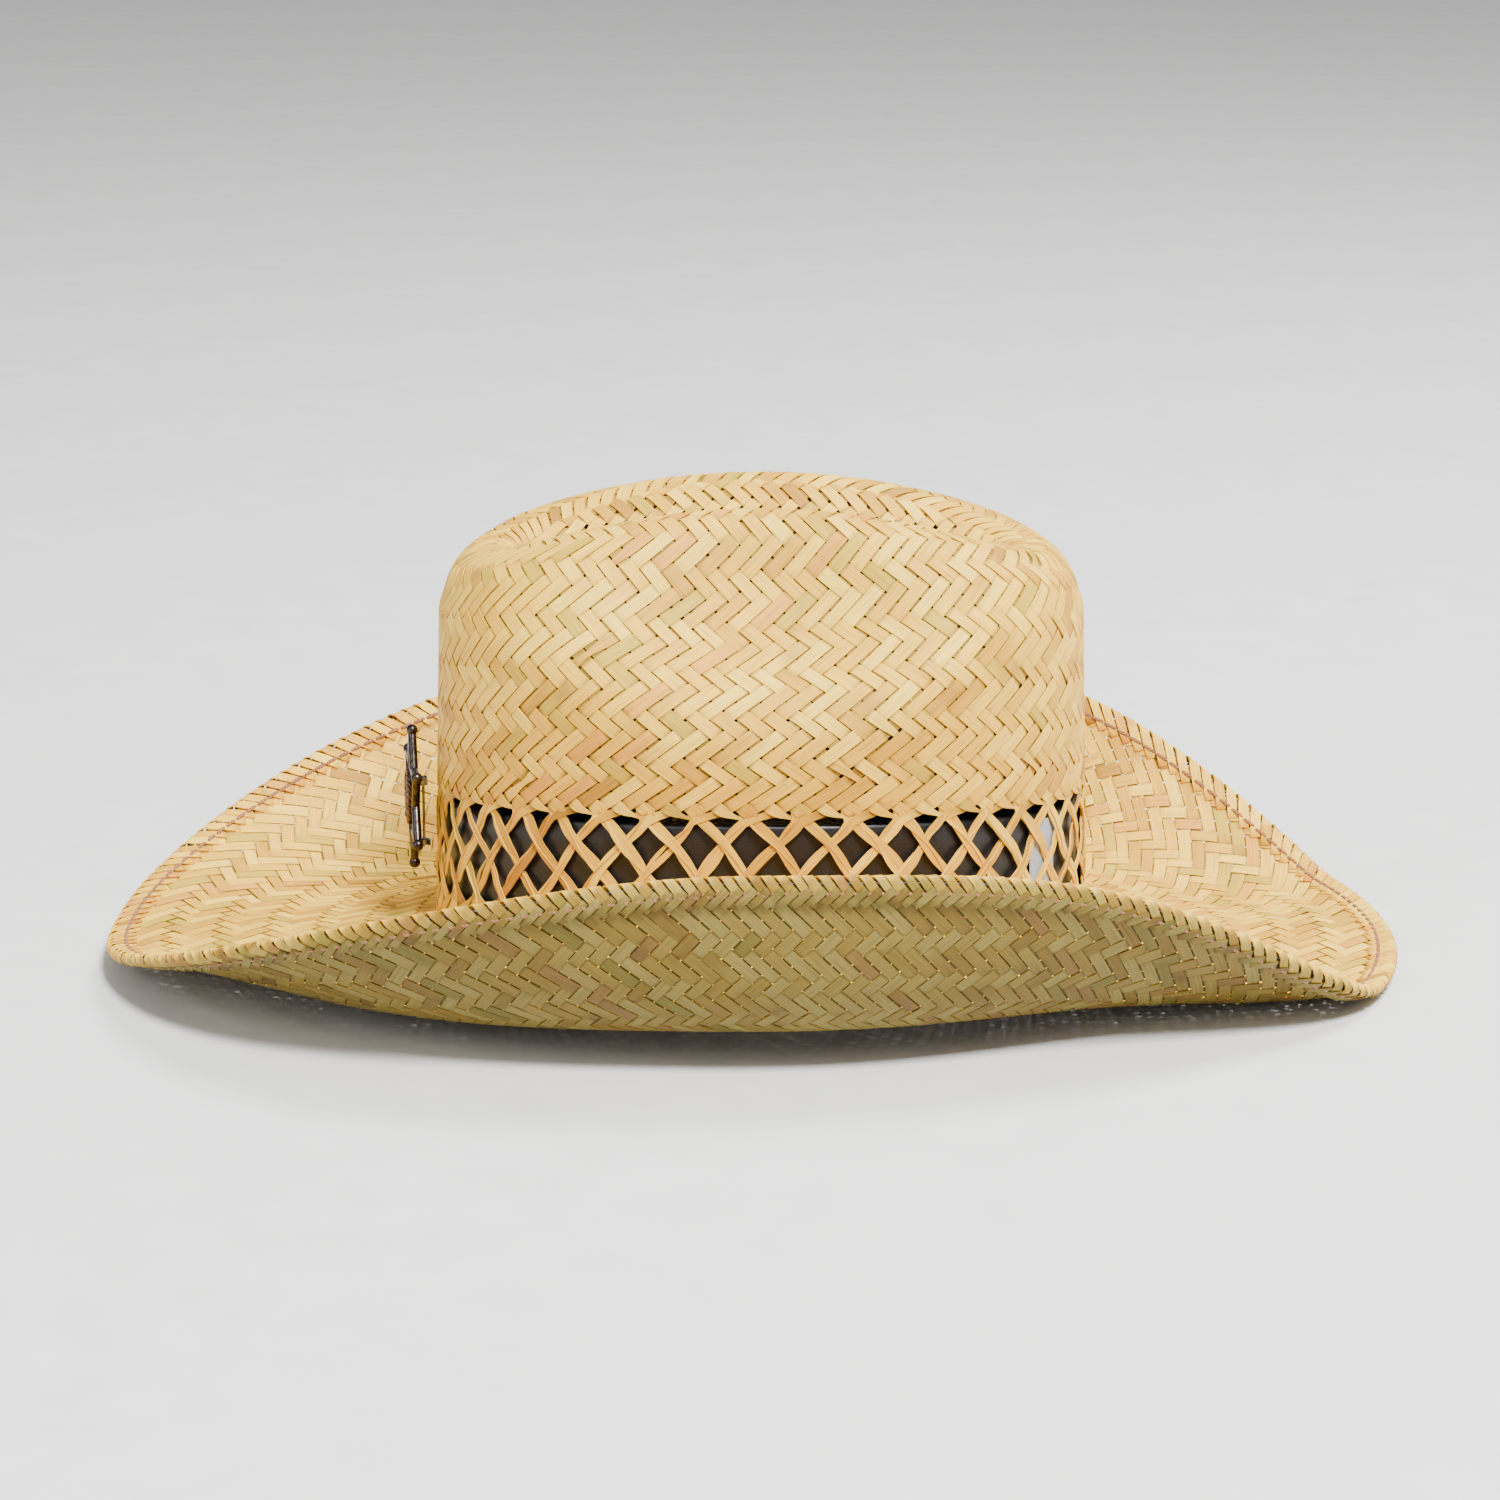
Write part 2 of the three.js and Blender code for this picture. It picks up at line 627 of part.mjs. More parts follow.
/** A ring cut open, seen along the pin, between two angles in degrees. */
function openRing(inner, outer, from, to, length) {
  const shape = new THREE.Shape();
  shape.absarc(0, 0, outer, degrees(from), degrees(to), false);
  shape.absarc(0, 0, inner, degrees(to), degrees(from), true);
  shape.closePath();
  const options = { depth: length, bevelEnabled: false, curveSegments: 10 };
  const geometry = new THREE.ExtrudeGeometry(shape, options);
  geometry.translate(0, 0, -length / 2);
  return geometry;
}

/** Stands a shape drawn across the pin at the height and depth of the catch. */
function placeCatch(geometry) {
  geometry.rotateX(Math.PI / 2);
  geometry.translate(0, CATCH_HEIGHT, PIN_DEPTH);
  return geometry;
}

/** The catch body: an open ring on a foot behind the star. */
function catchBodyGeometry() {
  const footDepth = PIN_DEPTH + STAR_THICKNESS / 2 + GAP;
  // The foot stops short of the tab's path.
  const foot = new THREE.BoxGeometry(FOOT_WIDTH, FOOT_THICKNESS, CATCH_LENGTH + 1);
  foot.translate(FOOT_EDGE - FOOT_WIDTH / 2, -footDepth - FOOT_THICKNESS / 2, 0);
  const hoop = openRing(CATCH_BORE, CATCH_BORE + CATCH_WALL, CATCH_MOUTH, 360 - CATCH_MOUTH, CATCH_LENGTH);
  return placeCatch(combine(hoop, foot, 'add'));
}

/** The catch roller: it turns inside the catch body and closes over the pin; a tab turns it. */
function catchRollerGeometry() {
  const tab = new THREE.BoxGeometry(1.5, ROLLER_WALL, CATCH_LENGTH);
  tab.translate(ROLLER_RADIUS + 0.55, 0, 0);
  tab.rotateZ(degrees(-CATCH_TURN / 2));
  const [from, to] = [ROLLER_SLOT - 90, 270 - ROLLER_SLOT];
  const roller = openRing(ROLLER_RADIUS - ROLLER_WALL, ROLLER_RADIUS, from, to, CATCH_LENGTH);
  return placeCatch(combine(roller, tab, 'add'));
}

// ---- Assembly -------------------------------------------------------------------------------

const hat = new THREE.Group();
hat.add(
  piece('straw_crown', crownGeometry(), '#e3c897', 0.75),
  piece('vent_band', ventGeometry(), '#ddbf8c', 0.75),
  piece('straw_brim', brimGeometry(), '#d8ba86', 0.75),
  piece('brim_hem', hemGeometry(), '#caa873', 0.75),
  piece('brim_wire', wireGeometry(), '#8c8f92', 0.35, 1),
  piece('wire_ferrule', ferruleGeometry(), '#b9a24f', 0.35, 1),
  piece('hem_top_thread', hemThreadGeometry(1), '#6b4438', 0.8),
  piece('hem_under_thread', hemThreadGeometry(-1), '#6b4438', 0.8),
  piece('sweatband', bandGeometry(), '#2b2c2f', 0.45),
  piece('sweatband_thread', bandThreadGeometry(), '#1d1d1f', 0.8),
  piece('sweatband_seam_tape', labelGeometry(BACK, TAPE_HALF_WIDTH, 1, BAND_HEIGHT - 1), '#232427', 0.7),
  piece('size_label', labelGeometry(LABEL_ANGLE, LABEL_HALF_WIDTH, LABEL_LOW, LABEL_HIGH), '#d9dde6', 0.8),
  piece('seam_tab', labelGeometry(TAB_ANGLE, TAB_HALF_WIDTH, TAB_LOW, TAB_HIGH), '#a3242b', 0.8),
);

const badge = new THREE.Group();
badge.position.set(...BADGE_CENTRE);
badge.rotation.z = degrees(BADGE_TURN);
const badgeFlat = new THREE.Group();
badgeFlat.rotation.x = Math.PI / 2;
badge.add(badgeFlat);
badgeFlat.add(
  piece('badge_star', starGeometry(), '#3a3c42', 0.3, 1),
  piece('badge_face', faceGeometry(), '#6d5140', 0.45, 1),
  piece('pin_hinge_bracket', hingeBracketGeometry(), '#77797c', 0.35, 1),
  piece('pin_rivet', rivetGeometry(), '#8b8d90', 0.3, 1),
  piece('pin_stem', pinGeometry(), '#9a9c9f', 0.25, 1),
  piece('catch_body', catchBodyGeometry(), '#77797c', 0.35, 1),
  piece('catch_roller', catchRollerGeometry(), '#8b8d90', 0.3, 1),
);
hat.add(badge);

// The frame: the origin lies below the middle of the hat, on the surface that it rests on.
const box = new THREE.Box3().setFromObject(hat, true);
const middle = box.getCenter(new THREE.Vector3());
hat.position.set(0, -middle.y, -box.min.z);
const group = new THREE.Group();
group.add(hat);

export default group;
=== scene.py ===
import logging
import math
from dataclasses import dataclass, field
from enum import Enum
from typing import Callable, Sequence

import bmesh
import bpy
import numpy as np
from bpy.types import Material, Mesh, Node, NodeSocket, NodeTree
from mathutils import Matrix, Vector


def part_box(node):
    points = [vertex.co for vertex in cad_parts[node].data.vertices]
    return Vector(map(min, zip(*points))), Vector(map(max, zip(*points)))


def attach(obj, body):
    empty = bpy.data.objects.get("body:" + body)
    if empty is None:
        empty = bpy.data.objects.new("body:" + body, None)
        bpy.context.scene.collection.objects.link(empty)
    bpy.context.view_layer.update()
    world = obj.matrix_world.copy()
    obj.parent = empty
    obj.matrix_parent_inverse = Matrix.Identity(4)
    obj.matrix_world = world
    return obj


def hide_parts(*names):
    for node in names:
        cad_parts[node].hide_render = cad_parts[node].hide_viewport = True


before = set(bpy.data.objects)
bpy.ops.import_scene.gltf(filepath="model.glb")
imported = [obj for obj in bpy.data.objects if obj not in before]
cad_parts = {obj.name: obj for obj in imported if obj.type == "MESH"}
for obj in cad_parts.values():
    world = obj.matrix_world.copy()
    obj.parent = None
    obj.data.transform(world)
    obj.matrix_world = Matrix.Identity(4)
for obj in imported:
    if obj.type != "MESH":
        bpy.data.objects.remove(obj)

# A woven straw cowboy hat: the weave, hem, sweatband and star badge are made here, strip by strip,
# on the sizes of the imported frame. Metres, +Z up, the front of the hat towards -Y.

MM = 0.001
BODY = "hat"
LEAF_BACK_AND_UNDERSIDE_SHADE = (0.21, 0.25, 0.45)       # painted shade on the strips' backs for the shaded underside, partly the leaf's duller, greener back
EDGE_GAP_SHADOW = 0.12                    # painted shadow along the strips' long edges, for the gaps between strips
DIVE_SHADOW = 0.42                    # painted shadow on a strip where it dives under its neighbours
WEAVE = np.array([1, 1, 1, -1, -1])  # over three strips, under two
ROUND = 8                            # corners in the section of a thread or wire
FLAT = 6                             # and in that of a strip with eased edges
FLAT_SHARE = 0.87                    # share of a strip's width that is flat
STRIP_SHIFT = 0.37                   # moves each strip's grain away from its neighbour's
TURNS = 480                          # grid steps about the hat
FULL = 2 * math.pi
PHASES = 6.3                         # span of the strips' random starts, about a full turn
UV_MAP = "lay"
TINT = "tint"
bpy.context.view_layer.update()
log = logging.getLogger("hat")


class Lay(Enum):
    """The two directions in which the strips of the weave run."""

    RIGHT = 1     # leans to the right as it climbs
    LEFT = -1     # leans to the left as it climbs


# ---- Small helpers ---------------------------------------------------------------------------


def linear(code: str) -> tuple[float, float, float]:
    """Turns an sRGB hex colour to linear red, green and blue.

    Args:
        code: Colour as "#rrggbb".

    Returns:
        The three linear values.
    """
    values = [int(code[i:i + 2], 16) / 255 for i in (1, 3, 5)]
    return tuple(v / 12.92 if v <= 0.04045 else ((v + 0.055) / 1.055) ** 2.4 for v in values)


def rgba(code: str) -> tuple[float, float, float, float]:
    """An opaque linear colour from an sRGB hex code."""
    return (*linear(code), 1.0)


def mix(a: np.ndarray | float, b: np.ndarray | float, t: np.ndarray | float) -> np.ndarray | float:
    """Straight-line blend from a to b."""
    return a + (b - a) * t


def smooth(x: np.ndarray | float, low: float, high: float) -> np.ndarray:
    """Blend from 0 at low to 1 at high, level at both ends."""
    t = np.clip((np.asarray(x, float) - low) / (high - low), 0, 1)
    return t * t * (3 - 2 * t)


def unit(vectors: np.ndarray) -> np.ndarray:
    """Vectors scaled to length one."""
    return vectors / np.maximum(np.linalg.norm(vectors, axis=-1, keepdims=True), 1e-12)


def bezier(points: Sequence[tuple], t: np.ndarray) -> list[np.ndarray]:
    """Cubic Bezier curves, one per row.

    Args:
        points: Four control points, each a tuple of columns.
        t: Places along the curve.

    Returns:
        One array per coordinate.
    """
    k = 1 - t
    weights = (k ** 3, 3 * k * k * t, 3 * k * t * t, t ** 3)
    return [sum(w * p[axis] for w, p in zip(weights, points)) for axis in range(len(points[0]))]


def read(items: bpy.types.bpy_prop_collection, name: str, wide: int, kind: type = float) -> np.ndarray:
    """Reads one property of every item of a mesh.

    Args:
        items: The vertices, edges or loops.
        name: The property.
        wide: How many numbers it has.
        kind: Their type.

    Returns:
        One row of numbers for each item.
    """
    flat = np.empty(len(items) * wide, kind)
    items.foreach_get(name, flat)
    return flat.reshape(-1, wide)


def write_lay(mesh: Mesh, places: np.ndarray) -> None:
    """Gives a mesh its UV map.

    Args:
        mesh: The mesh.
        places: One place on the map for each vertex.
    """
    loops = read(mesh.loops, "vertex_index", 1, int)[:, 0]
    layer = mesh.uv_layers.new(name=UV_MAP)
    layer.data.foreach_set("uv", places[loops].reshape(-1).astype(np.float32))


def spacing(points: np.ndarray) -> np.ndarray:
    """Room that each strip has before it meets the next one.

    Args:
        points: Stations along the strips, one row for each strip.

    Returns:
        The distance to the next strip, measured square to the strips.
    """
    step = np.roll(points, -1, 0) - points
    lean = np.sum(unit(np.gradient(points, axis=1)) * unit(step), -1)
    return np.linalg.norm(step, axis=-1) * np.sqrt(np.maximum(0, 1 - lean ** 2))


def waves(rng: np.random.Generator, rows: np.ndarray, count: int, rate: float) -> np.ndarray:
    """A wave along each strip, each with its own start."""
    return np.sin(rows * rate + rng.random((count, 1)) * PHASES)


# ---- The shape of the hat --------------------------------------------------------------------


@dataclass(frozen=True)
class HatForm:
    """The surface that the strips lie on: the same curves as the frame's solids."""

    straw: float = 1.2 * MM
    saddle: float = 10 * MM
    knee_taper: float = 2.5 * MM
    knee_side: float = 64 * MM
    knee_end: float = 97 * MM
    dent_reach: float = 0.86
    ridge_half_width: float = 30 * MM
    ridge_half_length: float = 82 * MM
    ridge_top: float = 137 * MM
    ridge_fall: float = 17 * MM
    ridge_power: float = 3.5
    crease_depth: float = 17 * MM
    spine_half_length: float = 56 * MM
    vent_top: float = 44 * MM
    reach_front: float = 103.5 * MM
    reach_back: float = 98 * MM
    reach_side: float = 62 * MM
    rim_side: float = 55.5 * MM
    rim_front: float = -5 * MM
    rim_back: float = -7 * MM
    brim_start: float = 1.2 * MM
    fillet_reach: float = 4 * MM      # the weave turns out of the wall in a small curve
    fillet_in: float = 1.0 * MM
    fillet_up: float = 2.2 * MM

    @property
    def half_length(self) -> float:
        """Half the head oval, front to back."""
        low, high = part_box("vent_band")
        return (high[1] - low[1] - self.straw) / 2

    @property
    def half_width(self) -> float:
        """Half the head oval, side to side."""
        low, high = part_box("vent_band")
        return (high[0] - low[0] - self.straw) / 2

    @property
    def origin(self) -> np.ndarray:
        """Middle of the head oval at the height of the brim break at front and back."""
        low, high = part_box("vent_band")
        return np.array([0.0, (low[1] + high[1]) / 2, low[2]])

    def outward(self, angle: np.ndarray) -> tuple[np.ndarray, np.ndarray]:
        """Outward direction of the head oval.

        Args:
            angle: Angles about the hat.

        Returns:
            The direction's two parts, along X and along Y.
        """
        x, y = np.cos(angle) / self.half_width, np.sin(angle) / self.half_length
        length = np.hypot(x, y)
        return x / length, y / length

    def break_height(self, angle: np.ndarray) -> np.ndarray:
        """Height of the brim break, which rises at the sides."""
        return self.saddle * self.outward(angle)[0] ** 2

    def dent(self, angle: np.ndarray) -> np.ndarray:
        """Strength of the side dents: one at mid length, nothing at front and back."""
        along = np.sin(angle) / self.dent_reach
        return np.maximum(0, 1 - along * along) ** 1.5

    def ridge(self, angle: np.ndarray) -> np.ndarray:
        """Points of the ridge line around the crown's top.

        Args:
            angle: Angles about the hat.

        Returns:
            Points, in the hat's own coordinates.
        """
        s, c = np.sin(angle), np.cos(angle)
        x = np.sign(c) * self.ridge_half_width * np.sqrt(np.maximum(0, 1 - np.abs(s) ** self.ridge_power))
        return np.stack([x, self.ridge_half_length * s, self.ridge_top - self.ridge_fall * s * s], -1)

    def wall(self, angle: np.ndarray, height: np.ndarray) -> np.ndarray:
        """Points of the crown's wall below the knee.

        Args:
            angle: Angles about the hat.
            height: Heights above the brim break.

        Returns:
            Points, in the hat's own coordinates.
        """
        nx, ny = self.outward(angle)
        lean = self.knee_taper * height / self.knee_end
        return np.stack([
            self.half_width * np.cos(angle) - nx * lean,
            self.half_length * np.sin(angle) - ny * lean,
            self.break_height(angle) + height,
        ], -1)

    def knee(self, angle: np.ndarray) -> np.ndarray:
        """Height of the knee above the brim break."""
        return mix(self.knee_end, self.knee_side, self.dent(angle)) - self.break_height(angle)

    def shoulder(self, angle: np.ndarray, travel: np.ndarray) -> np.ndarray:
        """Points of the crown above the knee.

        Args:
            angle: Angles about the hat.
            travel: From 0 to 1 along the dent, and from 1 to 2 over the shoulder to the ridge.

        Returns:
            Points, in the hat's own coordinates.
        """
        d = self.dent(angle)
        foot = self.wall(angle, self.knee(angle))
        ridge = self.ridge(angle)
        z0, top = foot[..., 2], ridge[..., 2]
        mid = (mix(0.16, 0.78, d), mix(top - 10 * MM, top - 17 * MM, d))
        lower = ((0 * d, z0), (0 * d, mix(z0 + 7 * MM, z0 + 30 * MM, d)),
                 (mix(0.03, 0.52, d), mix(mid[1] - 8 * MM, mid[1] - 27 * MM, d)), mid)
        upper = (mid, (mix(0.32, 0.87, d), mix(mid[1] + 8 * MM, mid[1] + 11 * MM, d)),
                 (mix(0.7, 0.93, d), top), (1 + 0 * d, top))
        low_share, low_height = bezier(lower, np.minimum(travel, 1))
        high_share, high_height = bezier(upper, np.maximum(travel, 1) - 1)
        share = np.where(travel <= 1, low_share, high_share)[..., None]
        height = np.where(travel <= 1, low_height, high_height)
        points = mix(foot, ridge, share)
        points[..., 2] = height
        return points

    def crease(self, angle: np.ndarray, share: np.ndarray) -> np.ndarray:
        """Points of the crown's top.

        Args:
            angle: Angles about the hat.
            share: From 0 at the ridge to 1 at the bottom of the middle crease.

        Returns:
            Points, in the hat's own coordinates.
        """
        ridge = self.ridge(angle)
        drop = self.crease_depth * share * share * (3 - 2 * share)
        y = mix(ridge[..., 1], self.spine_half_length * np.sin(angle), share)
        return np.stack([ridge[..., 0] * (1 - share), y, ridge[..., 2] - drop], -1)

    def brim_section(self, angle: np.ndarray) -> tuple:
        """Control points of the brim's section.

        Args:
            angle: Angles about the hat.

        Returns:
            Four points, each a distance out from the crown and a height.
        """
        nx, ny = self.outward(angle)
        side, front = np.abs(nx), ny < 0
        roll = np.where(front, side ** 1.8, mix(side ** 2, smooth(side, 0.33, 1), 0.8))
        tuck = np.where(front, mix(side ** 6, smooth(side, 0.1, 0.9), 0.25),
                        mix(side ** 3, smooth(side, 0.4, 1), 0.6))
        reach = mix(np.where(front, self.reach_front, self.reach_back), self.reach_side, tuck)
        rim = mix(np.where(front, self.rim_front, self.rim_back), self.rim_side, roll)
        start, finish = np.radians(mix(-9, -38, side ** 1.2)), np.radians(mix(-8, 88, side ** 1.5))
        first, last = 43 * MM, mix(32, 45, side ** 2) * MM
        z0 = self.break_height(angle)
        x0 = self.brim_start + 0 * angle
        return ((x0, z0), (x0 + first * np.cos(start), z0 + first * np.sin(start)),
                (reach - last * np.cos(finish), rim - last * np.sin(finish)), (reach, rim))

    def brim(self, angle: np.ndarray, travel: np.ndarray) -> np.ndarray:
        """Points of the brim along its Bezier section.

        Args:
            angle: Angles about the hat.
            travel: From 0 at the crown to 1 at the rim.

        Returns:
            Points, in the hat's own coordinates.
        """
        nx, ny = self.outward(angle)
        reach, height = bezier(self.brim_section(angle), travel)
        fillet = np.clip(1 - (reach - self.brim_start) / self.fillet_reach, 0, 1)
        reach = reach - fillet ** 2 * self.fillet_in
        height = height + fillet ** 2 * self.fillet_up
        return np.stack([self.half_width * np.cos(angle) + nx * reach,
                         self.half_length * np.sin(angle) + ny * reach, height], -1)


@dataclass
class Surface:
    """A sheet around the hat, sampled on a grid of turns about the hat and runs up or out."""

    points: np.ndarray
    outside: int
    normals: np.ndarray = field(init=False)

    def __post_init__(self) -> None:
        """Works out the outward direction at each point of the grid."""
        around = np.roll(self.points, -1, 0) - np.roll(self.points, 1, 0)
        along = np.gradient(self.points, axis=1)
        self.normals = unit(np.cross(around, along)) * self.outside

    def _pick(self, grid: np.ndarray, turn: np.ndarray, run: np.ndarray) -> np.ndarray:
        """Reads a grid between its points.

        Args:
            grid: Values on the grid.
            turn: Turns about the hat, where 1 is once round.
            run: Places up or out, from 0 to 1.

        Returns:
            The values there.
        """
        n, m = grid.shape[:2]
        a = (turn % 1.0) * n
        b = np.clip(run, 0, 1) * (m - 1)
        i, j = np.floor(a).astype(int) % n, np.minimum(np.floor(b).astype(int), m - 2)
        f, g = (a - np.floor(a))[..., None], (b - j)[..., None]
        i2 = (i + 1) % n
        near = grid[i, j] * (1 - f) + grid[i2, j] * f
        return near * (1 - g) + (grid[i, j + 1] * (1 - f) + grid[i2, j + 1] * f) * g

    def point(self, turn: np.ndarray, run: np.ndarray) -> np.ndarray:
        """Points of the sheet."""
        return self._pick(self.points, turn, run)

    def length(self, turn: np.ndarray) -> np.ndarray:
        """Lengths of the sheet's runs, from one edge to the other."""
        whole = np.linalg.norm(np.diff(self.points, axis=1), axis=-1).sum(1)
        return np.interp((turn % 1.0) * len(whole), np.arange(len(whole) + 1), np.append(whole, whole[0]))

    def normal(self, turn: np.ndarray, run: np.ndarray) -> np.ndarray:
        """Outward directions of the sheet."""
        return unit(self._pick(self.normals, turn, run))


def even_runs(rows: np.ndarray, count: int) -> np.ndarray:
    """Spaces the points of each row evenly along it.

    Args:
        rows: Lines of points, one per row.
        count: Points wanted on each row.

    Returns:
        The new rows.
    """
    steps = np.linalg.norm(np.diff(rows, axis=1), axis=-1)
    run = np.concatenate([np.zeros((len(rows), 1)), np.cumsum(steps, 1)], 1)
    out = np.empty((len(rows), count, 3))
    for i, row in enumerate(rows):
        wanted = np.linspace(0, run[i, -1], count)
        for axis in range(3):
            out[i, :, axis] = np.interp(wanted, run[i], row[:, axis])
    return out


def all_round() -> np.ndarray:
    """Angles of the grid, once about the hat."""
    return np.linspace(0, FULL, TURNS, endpoint=False)[:, None]


def brim_surface(form: HatForm) -> Surface:
    """The brim's sheet, from the crown to the rim.

    Args:
        form: The hat's form.

    Returns:
        The sheet, with its upper side out.
    """
    steps = 121
    rows = form.brim(all_round(), np.linspace(0, 1, steps)[None, :]) + form.origin
    return Surface(even_runs(rows, steps), -1)


def crown_surface(form: HatForm) -> Surface:
    """The crown's sheet from the vents' top, over the knee and shoulder, to inside the ridge.

    Args:
        form: The hat's form.

    Returns:
        The sheet, with its folds rounded over a few millimetres, because straw has no sharp folds.
    """
    angle, rounding = all_round(), 14
    low = np.linspace(0, 1, 25)[None, :-1]
    wall = form.wall(angle, mix(form.vent_top, form.knee(angle), low))
    shoulder = form.shoulder(angle, np.linspace(0, 2, 81)[None, :-1])
    top = form.crease(angle, np.linspace(0, 0.32, 17)[None, :])
    rows = even_runs(np.concatenate([wall, shoulder, top], 1), 161)
    for _ in range(rounding):
        rows[:, 1:-1] = 0.5 * rows[:, 1:-1] + 0.25 * (rows[:, :-2] + rows[:, 2:])
    return Surface(rows + form.origin, 1)


def wall_surface(form: HatForm) -> Surface:
    """The upright sheet of the base band and the vents.

    Args:
        form: The hat's form.

    Returns:
        The sheet.
    """
    rows = form.wall(all_round(), np.linspace(0, form.vent_top, 45)[None, :]) + form.origin
    return Surface(rows, 1)


# ---- Meshes from runs of strip ---------------------------------------------------------------


@dataclass
class Runs:
    """Centre lines of strips, wires or threads: one row of stations for each."""

    centre: np.ndarray
    normal: np.ndarray
    width: np.ndarray | float
    thickness: np.ndarray | float
    tint: np.ndarray | None = None
    tucked: float = 0.0              # how far the strips' backs take the painted underside shade, partly the leaf's duller back
    over: np.ndarray | None = None   # height among the neighbours where both faces show

    def __post_init__(self) -> None:
        """Gives every station a width and a thickness."""
        same = np.zeros(self.centre.shape[:2])
        self.width, self.thickness = self.width + same, self.thickness + same


def ribbon_template(rings: int, sides: int) -> Mesh:
    """A straight rod of rings along Z, drawn out of one polygon.

    Args:
        rings: Number of rings of vertices.
        sides: Number of vertices in a ring.

    Returns:
        The mesh, with its ring number as each vertex's height.
    """
    bm = bmesh.new()
    made = bmesh.ops.create_circle(bm, cap_ends=True, segments=sides, radius=1.0)
    start = list({face for vert in made["verts"] for face in vert.link_faces})
    bmesh.ops.spin(bm, geom=start, cent=(0, 0, 0), axis=(0, 0, 1), dvec=(0, 0, 1), angle=0,
                   steps=rings - 1, use_duplicate=False)
    bmesh.ops.recalc_face_normals(bm, faces=bm.faces)
    mesh = bpy.data.meshes.new("template")
    bm.to_mesh(mesh)
    bm.free()
    return mesh


def make_object(name: str, mesh: Mesh, material: Material,
                replaced: Sequence[str] = (), body: str = BODY) -> bpy.types.Object:
    """Puts a finished mesh in the scene as a piece of the hat.

    Args:
        name: The piece's name.
        mesh: Its mesh, in place.
        material: Its finish.
        replaced: Frame nodes that it stands for.
        body: Body that it moves with.

    Returns:
        The piece.
    """
    mesh.name = name
    mesh.materials.clear()
    mesh.materials.append(material)
    mesh.polygons.foreach_set("use_smooth", np.ones(len(mesh.polygons), bool))
    piece = bpy.data.objects.new(name, mesh)
    bpy.context.scene.collection.objects.link(piece)
    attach(piece, body)
    if replaced:
        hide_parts(*replaced)
    log.info("%s: %d faces", name, len(mesh.polygons))
    return piece


def mark_long_edges(mesh: Mesh, ring: np.ndarray) -> None:
    """Keeps the long edges of flat strips crisp while they stay smooth along their length.

    Args:
        mesh: The strips' mesh.
        ring: Ring number of each vertex.
    """
    ends = read(mesh.edges, "vertices", 2, int)
    sharp = mesh.attributes.new("sharp_edge", "BOOLEAN", "EDGE")
    sharp.data.foreach_set("value", ring[ends[:, 0]] != ring[ends[:, 1]])


def ribbon_mesh(runs: Runs, sides: int = FLAT) -> Mesh:
    """Lays straight rods along the runs, flattened to strips of the given width and thickness.

    Args:
        runs: The centre lines.
        sides: Corners in the section: FLAT for a strip, ROUND for a thread.

    Returns:
        One mesh holding every strip, with the strip's length and width as its UV map.
    """
    count, rings = runs.centre.shape[:2]
    template = ribbon_template(rings, sides)
    bm = bmesh.new()
    for _ in range(count):
        bm.from_mesh(template)
    mesh = bpy.data.meshes.new("strips")
    bm.to_mesh(mesh)
    bm.free()
    rod = read(template.vertices, "co", 3)
    bpy.data.meshes.remove(template)
    ring = np.clip(np.round(rod[:, 2]).astype(int), 0, rings - 1)
    across, up = rod[:, 0], rod[:, 1]
    if sides == FLAT:
        across = np.sign(across) * np.where(np.abs(across) > 0.9, 1.0, FLAT_SHARE)
        up = np.sign(np.round(up, 3))
    forward = unit(np.gradient(runs.centre, axis=1))
    side = unit(np.cross(forward, runs.normal))
    lift = unit(np.cross(side, forward))
    centre, side, lift = runs.centre[:, ring], side[:, ring], lift[:, ring]
    half_width, half_thick = runs.width[:, ring] / 2, runs.thickness[:, ring] / 2
    points = centre + side * (half_width * across)[..., None] + lift * (half_thick * up)[..., None]
    mesh.vertices.foreach_set("co", points.reshape(-1).astype(np.float32))
    steps = np.linalg.norm(np.diff(runs.centre, axis=1), axis=-1)
    length = np.concatenate([np.zeros((count, 1)), np.cumsum(steps, 1)], 1)[:, ring]
    start = np.arange(count)[:, None] * STRIP_SHIFT
    if sides == FLAT:
        mark_long_edges(mesh, np.tile(ring, count))
    write_lay(mesh, np.stack([length + start, half_width * across + start], -1).reshape(-1, 2))
    if runs.tint is not None:
        # painted shade: the strips' backs are darkened and greened, partly for the leaf's duller back
        back = np.where(up < -0.5, 1.0, 0.0)[None, :, None] * runs.tucked
        shade = mix(1.0, np.array(LEAF_BACK_AND_UNDERSIDE_SHADE), back)
        # painted shadow where a strip dives under its neighbours
        if runs.over is not None:
            shade = shade * painted_dive_shadow(runs.over[:, ring] * up)
        # painted shadow along each strip's long edges, standing in for the gaps between strips
        shade = shade * np.where(np.abs(across) > 0.95, EDGE_GAP_SHADOW, 1.0)[None, :, None]
        colour = np.concatenate([runs.tint[:, ring] * shade, np.ones((count, len(rod), 1))], -1)
        tint = mesh.color_attributes.new(TINT, "FLOAT_COLOR", "POINT")
        tint.data.foreach_set("color", colour.reshape(-1).astype(np.float32))
    mesh.update()
    return mesh


def painted_dive_shadow(over: np.ndarray) -> np.ndarray:
    """Painted shadow on a strip where it goes under its neighbours, from its height among them."""
    return mix(DIVE_SHADOW, 1.0, smooth(over, -0.95, 0.6))[..., None]


def over_under(place: np.ndarray, state: Callable[[np.ndarray], np.ndarray]) -> np.ndarray:
    """Height of a strip as it passes over and under its neighbours.

    Args:
        place: Places along the strip, where each whole number is a crossing.
        state: Gives 1 where the strip passes over at a crossing and -1 where it passes under.

    Returns:
        Values from -1 to 1.
    """
    near = np.floor(place)
    step = smooth(place - near, 0.32, 0.68)
    return mix(state(near), state(near + 1), step)


